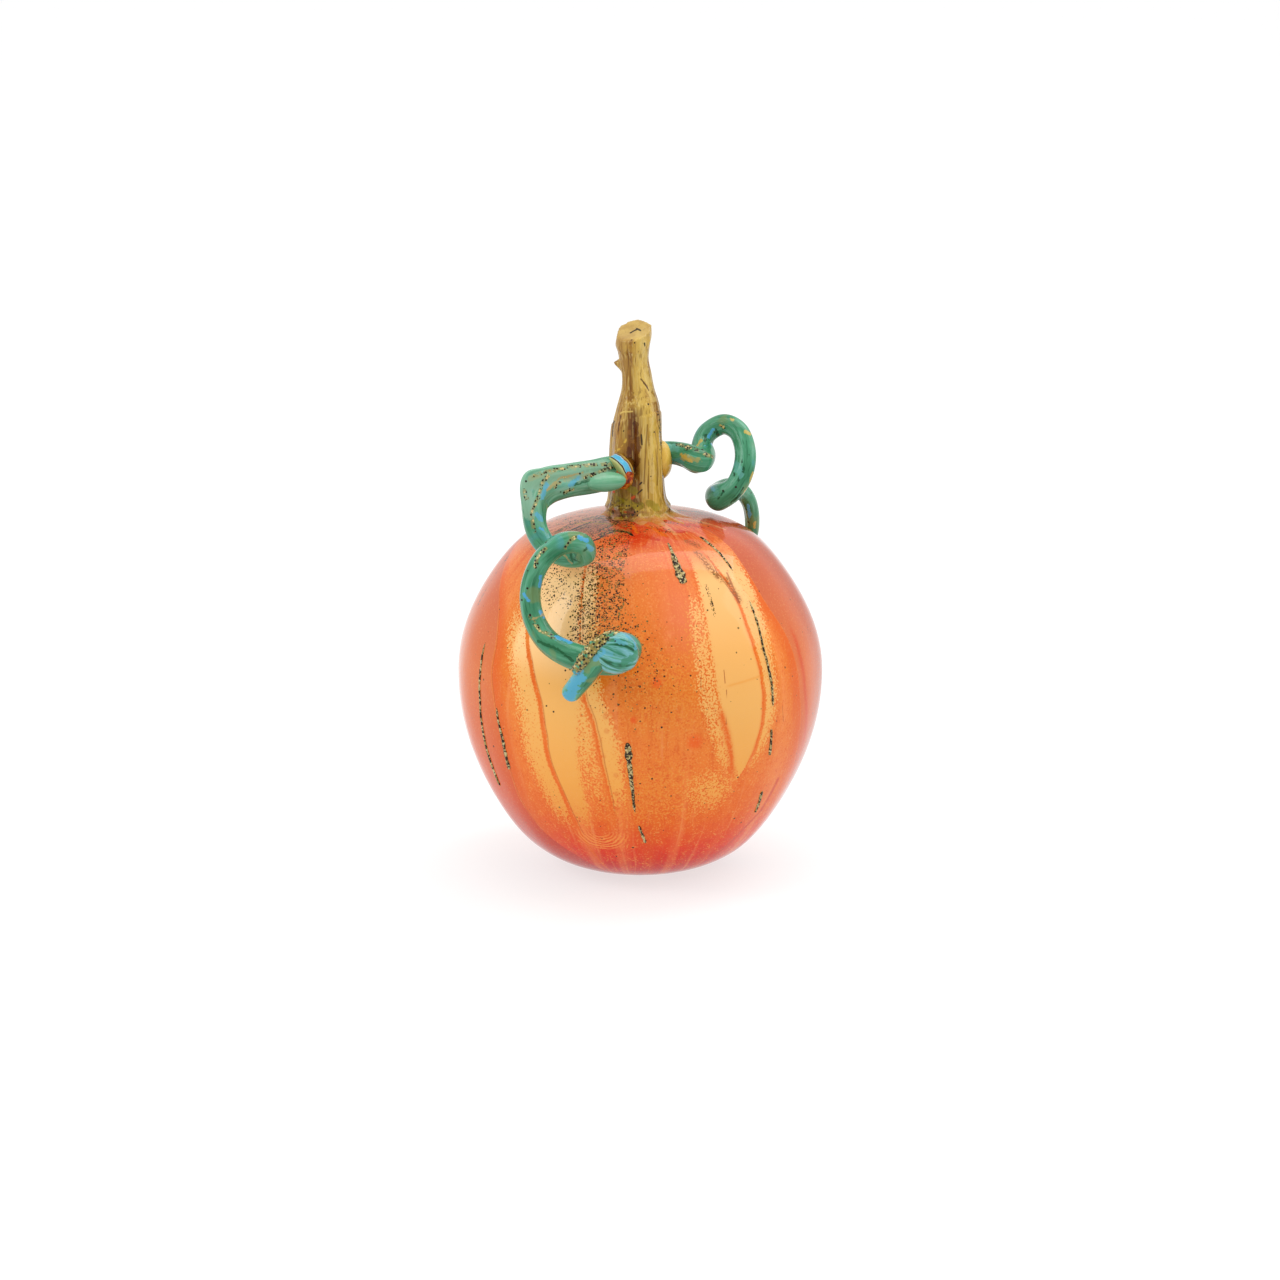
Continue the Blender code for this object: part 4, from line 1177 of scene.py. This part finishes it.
# Marks on the tendrils: colour, radius in mm, strength, and lines of places in mm
LEFT_MARKS = (
    ("2c5c3c", 1, 0.8, (
        ((-40, -79, 114), (-32, -83, 112), (-26, -86, 108)), ((-22, -64, 147), (-21, -64, 148)),
        ((-29, -56, 142.5), (-24, -58, 141)), ((-27.5, -56, 144), (-26, -57, 138)),
        ((-29, -29, 169), (-20, -23, 171), (-10, -15, 170)), ((-26, -27, 166), (-20, -23, 167)),
        ((-13, -99, 108), (-8, -93, 106)))),
    ("24503c", 0.5, 0.8, (
        ((-13, -102, 118), (-7, -100, 120)), ((-13, -103, 117), (-6, -100, 118)),
        ((-14, -103, 115.5), (-7, -102, 116)))),
    ("90c4a0", 1.8, 0.6, (((-16, -21, 167), (-9, -15, 168)), ((-20, -23, 165), (-11, -18, 164)))),
    ("8fb598", 4.6, 0.7, (
        ((-45, -37, 168), (-36, -33, 169), (-26, -26, 170), (-16, -20, 170)),
        ((-45, -40, 164), (-44, -43, 158)))),
    ("a3ab80", 1.6, 0.5, (
        ((-44, -37, 170), (-36, -33, 172), (-26, -26, 172.5)), ((-30, -30, 168), (-20, -23, 169)))),
    ("68aec0", 1.5, 0.6, (((-9, -103, 120), (-5, -102, 119)), ((-15, -104, 117), (-11, -105, 115)))),
    ("4c9070", 3, 0.85, (((-5, -102, 112), (-1, -100, 114)),)),
    ("5aa9d8", 1.25, 0.85, (
        ((-39.5, -46, 152), (-34, -48, 150)), ((-24, -66, 153), (-20.5, -64, 151)),
        ((-39, -69.5, 138), (-39, -69, 134)), ((-45.5, -71, 131), (-44, -72, 129)),
        ((-39, -72, 124), (-38, -72, 122)), ((-33, -79, 116), (-27, -80, 114)))),
    ("62aecb", 1.6, 0.75, (
        ((-41, -42, 157), (-39, -43, 155)), ((-28, -28, 166), (-24, -26, 169)),
        ((-37, -34, 167), (-39, -38, 162)), ((-20, -64, 149), (-18.5, -62, 147)),
        ((-5, -97, 121), (-2, -97, 116), (-8, -100, 114)), ((-17, -102, 113), (-14, -103, 116)))),
    ("5cabc8", 4.2, 0.95, (((-23, -98, 105), (-26, -94, 99), (-28, -90, 93)),)),
    ("b59f68", 1, 0.75, (
        ((-37, -34, 165), (-32, -30, 169), (-23, -25, 170)), ((-42, -75, 122), (-38, -72, 123)),
        ((-30, -54, 143), (-27, -55, 140)))),
)
LEFT_SPECKS = (
    ((-43, -35, 171), (-38, -32, 172), (-26, -25, 173), (-11, -15, 172)),
    ((-30, -29, 163), (-27, -27, 164)),
    ((-36, -31, 171), (-39, -35, 168), (-40, -37, 164), (-43, -44, 158)),
    ((-34, -32, 166), (-30, -29, 169)), ((-46, -40, 166), (-45, -41, 163)),
    ((-22, -24, 168), (-11, -16, 171)), ((-43, -44, 156), (-42, -46, 151)),
    ((-25, -65, 153), (-27, -67, 152), (-29, -68, 149)),
    ((-37, -69, 149), (-40, -69, 146), (-41, -70, 142)),
    ((-43, -74, 123), (-41, -76, 120), (-39, -77, 118), (-34, -79, 116)),
    ((-9.5, -98.5, 122), (-14.5, -101.5, 120.5), (-18.5, -102, 117), (-22, -100, 112), (-25, -97, 107)),
    ((-9.5, -99, 121), (-14.5, -102, 119), (-18.5, -103, 115.5), (-21, -101.5, 111), (-24, -97.5, 106)),
)
RIGHT_MARKS = (
    ("1c3e2c", 0.6, 0.8, (
        ((36, -2, 170), (38.5, -3, 165), (37, -3, 160)), ((41, 0, 176), (41.5, -2, 170)),
        ((29, 8, 176), (30.5, 11, 180)), ((42, -5, 160), (39, -4, 155.5)))),
    ("2a523a", 1, 0.8, (
        ((31, 11, 181), (32.5, 12, 177)), ((27, 10, 179), (26.5, 7, 176)),
        ((40, -4, 163), (42, -4, 167), (43, -4, 172)), ((41, -5, 157), (37, -3, 153.5)),
        ((32, -2, 155), (34, -4, 158)))),
    ("5fb0d8", 1.2, 0.9, (
        ((26, 4, 175), (29, 8, 175)), ((28, 10, 178), (30, 11, 181)), ((45, 30, 145), (46, 36, 138)),
        ((29, 3, 159), (30, -1, 158)))),
    ("6fb2a6", 2.2, 0.6, (
        ((11, 2, 176), (15, 0, 175)), ((39, -1, 169), (41, -4, 165)), ((30, 2, 160), (31, -2, 157)))),
    ("a9a062", 2.3, 0.8, (((17, -4, 172.5), (23, -6, 171.5)),)),
    ("c9a850", 1.3, 0.8, (
        ((46, -2, 165), (44.5, -4, 160), (42, -3, 156)), ((16, -3, 173.5), (21, -5, 171)),
        ((22, 0, 174.5), (23.5, 5, 178)))),
    ("ccb05a", 1, 0.8, (
        ((23, 5, 175), (25, 8, 177)), ((33, 10, 183), (34, 9, 182)), ((43, 6, 181), (45, 6, 180)),
        ((48, 36, 137), (48, 38, 134)), ((37, 10, 186), (38, 10, 185)))),
)
RIGHT_SPECKS = (
    ((15, 1, 177), (18, 0, 176.4), (23, -3, 175), (27, -4, 173.4), (30, -1, 172)),
    ((19, -1, 175.6), (28, -4, 173)), ((33, 10, 183), (34, 9, 182.5)),
)


def green_material(name, seed, marks, specks):
    """Sea-green glass with pulled streaks, coloured marks, and lines of dark and gold flecks."""
    g = Graph(name)
    g.depth = 0.5
    place = g.place()
    flow = g.vector("ADD", g.attribute("flow"), (seed, 0, seed))
    broad = g.noise(g.vector("MULTIPLY", flow, (1.7, 1.7, 1.6)), 0.8, 2, 0.5, 0.5)
    fine = g.noise(g.vector("MULTIPLY", flow, (6.5, 6.5, 2.6)), 1.0, 2, 0.6, 0.3)
    colour = g.ramp(broad, [(0.30, "3f7a5a"), (0.42, "4c8a68"), (0.55, "569a76"),
                            (0.70, "74b094")])
    colour = g.coat(colour, "2f6044", g.steps(fine, 0.56, 0.70), 0.6)
    colour = g.coat(colour, "7cc0a4", g.steps(fine, 0.38, 0.26), 0.40)
    patch = g.noise(place, 75, 1, 0.5, 0.6)
    colour = g.coat(colour, "5a9fa8", g.steps(patch, 0.60, 0.70), 0.5)
    colour = g.coat(colour, "86935c", g.steps(patch, 0.38, 0.30), 0.5)
    round_x, round_y, zone = g.xyz(g.attribute("flow"))
    across, _, tall = (g.times(value, 1000.0) for value in g.xyz(place))
    strap = g.times(g.steps(across, -8, -14), g.steps(tall, 155, 165), 0.55)
    colour = g.mix(strap, colour, g.mix(g.steps(fine, 0.35, 0.6), "a4ccb0", "7eb496"))
    spread = g.join(g.times(round_x, 3.2), g.times(round_y, 3.2), g.times(zone, 1.6))
    fan = g.noise(spread, 1.0, 3, 0.65, 0.4)
    blade = g.ramp(fan, [(0.34, "2a5a42"), (0.41, "4a9076"), (0.49, "74b2b0"),
                         (0.57, "84c0cc"), (0.66, "62a890")])
    colour = g.mix(g.times(g.span(zone, BLADE_ZONE, BLADE_ZONE + 1, 0.2), 0.9), colour, blade)
    roll = g.ramp(fan, [(0.3, "5fa57f"), (0.5, "76b28e"), (0.7, "8ac09e")])
    colour = g.mix(g.times(g.span(zone, ROLL_ZONE, ROLL_ZONE + 1, 0.2), 0.85), colour, roll)
    colour = g.draw(colour, place, marks)
    near, chance = g.cells(place, 950)
    ridge = g.times(g.steps(zone, RIDGE_ZONE - 1, RIDGE_ZONE), 1.5)
    line = g.most(g.strokes(place, specks, 1.15, 0.7), ridge)
    broken = g.steps(g.noise(place, 500, 2), 0.36, 0.50)
    share = g.add(g.times(line, broken), 0.006)
    dots = g.times(g.steps(near, 0.55, 0.42), g.math("LESS_THAN", chance, share))
    colour = g.coat(colour, "a08a4c", line, broken, 0.6)
    colour = g.mix(dots, colour, g.mix(g.steps(chance, 0.55, 0.6), rgb("20170c"), rgb("c9b37a")))
    height = g.add(g.times(broad, 0.4), g.times(fine, 0.3))
    return g.finish(colour, g.steps(broad, 0.3, 0.7, 0.06, 0.14), height, 0.2)


def fleck_material():
    """Rough crushed glass: near-black with grains of gold."""
    g = Graph("dark_fleck_glass")
    place = g.place()
    near, chance = g.cells(place, 1500)
    colour = g.ramp(chance, [(0.0, rgb("1e140a")), (0.45, rgb("33240f")), (0.62, rgb("a8935a")),
                             (1.0, rgb("cbbd8c"))])
    return g.finish(colour, g.steps(chance, 0.0, 1.0, 0.25, 0.5), g.times(near, -1.0), 0.3)


def collar_material():
    """Sky-blue glass with a black line and a gold rim."""
    g = Graph("pale_blue_glass")
    along = g.xyz(g.attribute("flow"))[2]
    wave = g.times(g.less(g.noise(g.place(), 300, 2), 0.5), 1.2)
    share = g.math("DIVIDE", g.add(g.add(along, wave), 10.0), 13.0)
    blue = g.mix(g.noise(g.place(), 500, 2), "4fa8d4", "6cc6e0")
    low = g.steps(g.times(g.xyz(g.place())[2], 1000.0), 168.0, 166.0)
    colour = g.ramp(share, [(0.46, "6e4a1c"), (0.51, "a87c34"), (0.56, "c8a04c"), (0.62, rgb("4a3418")),
                            (0.64, (1, 1, 1)), (0.82, (1, 1, 1)), (0.84, rgb("1c1a14")),
                            (0.87, rgb("2a2818")), (0.89, "b8bc7c")])
    band = g.span(share, 0.64, 0.82, 0.01)
    colour = g.mix(g.times(low, 0.9), g.mix(band, colour, blue), "7a4f22")
    return g.finish(colour, g.steps(wave, -0.5, 0.5, 0.06, 0.14), wave, 0.1)


RED_GOLD = ((0.3, "3a1a0c"), (0.42, "8e3a1a"), (0.5, "b9552a"), (0.56, "cf9440"), (0.64, "6a2a14"))
YELLOW_GOLD = ((0.3, "cf9e42"), (0.5, "dfb656"), (0.7, "eac86c"))


def drop_material(name, stops, scale):
    """A drop of glass in swirled colours."""
    g = Graph(name)
    place = g.place()
    swirl = g.noise(place, scale, 3, 0.6, 1.2)
    return g.finish(g.ramp(swirl, stops), g.steps(swirl, 0.3, 0.7, 0.06, 0.16), swirl, 0.2)


# Stage

def make_floor():
    """A wide pale floor."""
    mesh = bpy.data.meshes.new("floor")
    corners = [(x * FLOOR_REACH, y * FLOOR_REACH, 0) for x, y in ((-1, -1), (1, -1), (1, 1), (-1, 1))]
    mesh.from_pydata(corners, [], [(0, 1, 2, 3)])
    floor = bpy.data.objects.new("floor", mesh)
    bpy.context.scene.collection.objects.link(floor)
    graph = Graph("pale_floor")
    graph.shader.inputs["Emission Color"].default_value = (1, 1, 1, 1)
    graph.shader.inputs["Emission Strength"].default_value = FLOOR_GLOW
    graph.shader.inputs["Specular IOR Level"].default_value = 0.1
    mesh.materials.append(graph.finish((FLOOR_GREY, FLOOR_GREY, FLOOR_GREY), 0.8))


def softbox(name, place, width, height, radiance):
    """A rectangular light that looks the given radiance from every side it faces."""
    data = bpy.data.lights.new(name, "AREA")
    data.shape = "RECTANGLE"
    data.size, data.size_y = width, height
    data.energy = radiance * width * height * math.pi
    light = bpy.data.objects.new(name, data)
    bpy.context.scene.collection.objects.link(light)
    light.location = place
    light.rotation_euler = (Vector(LIGHT_AIM) - Vector(place)).to_track_quat("-Z", "Y").to_euler()


def make_lights():
    world = bpy.data.worlds.new("studio")
    world.use_nodes = True
    world.node_tree.nodes["Background"].inputs[0].default_value = (1, 1, 1, 1)
    world.node_tree.nodes["Background"].inputs[1].default_value = WORLD_LIGHT
    bpy.context.scene.world = world
    for name, box in SOFTBOXES.items():
        softbox(name, *box)


def make_camera():
    data = bpy.data.cameras.new("camera")
    data.sensor_width = SENSOR_WIDTH
    data.lens = SENSOR_WIDTH * CAMERA_DISTANCE / FRAME_WIDTH
    camera = bpy.data.objects.new("camera", data)
    bpy.context.scene.collection.objects.link(camera)
    away = Vector((0, -math.cos(CAMERA_ELEVATION), math.sin(CAMERA_ELEVATION)))
    camera.location = CAMERA_AIM + away * CAMERA_DISTANCE
    camera.rotation_euler = (-away).to_track_quat("-Z", "Y").to_euler()
    bpy.context.scene.camera = camera


def show(piece, slot, *nodes):
    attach(piece, "root")
    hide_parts(*nodes)


def main():
    make_camera()
    show(make_body(body_material()), "amber_orange_glass", "body_shell")
    show(make_stem(stem_material()), "stem_gold_glass", "stem")
    left = green_material("sea_green_glass", 0.0, LEFT_MARKS, LEFT_SPECKS)
    show(make_left_tendril(left), "sea_green_glass", "left_tendril")
    right = green_material("right_green_glass", 5.0, RIGHT_MARKS, RIGHT_SPECKS)
    show(make_right_tendril(right), "sea_green_glass", "right_tendril")
    show(make_collar(collar_material()), "pale_blue_glass", "left_collar")
    red_gold = drop_material("red_gold_glass", RED_GOLD, 260)
    show(make_drop("glass_left_bead", *BEAD, red_gold, 0.15, 1.0),
         "red_gold_glass", "left_bead")
    yellow_gold = drop_material("yellow_gold_glass", YELLOW_GOLD, 60)
    show(make_drop("glass_right_boss", *BOSS, yellow_gold, 0.04, 4.0),
         "yellow_gold_glass", "right_boss")
    dark = fleck_material()
    for name, (route, start_width, end_width) in TRAILS.items():
        show(make_trail(name, route, start_width, end_width, dark), "dark_fleck_glass", name)
    make_floor()
    make_lights()
    bpy.context.scene.view_settings.view_transform = "Standard"


main()
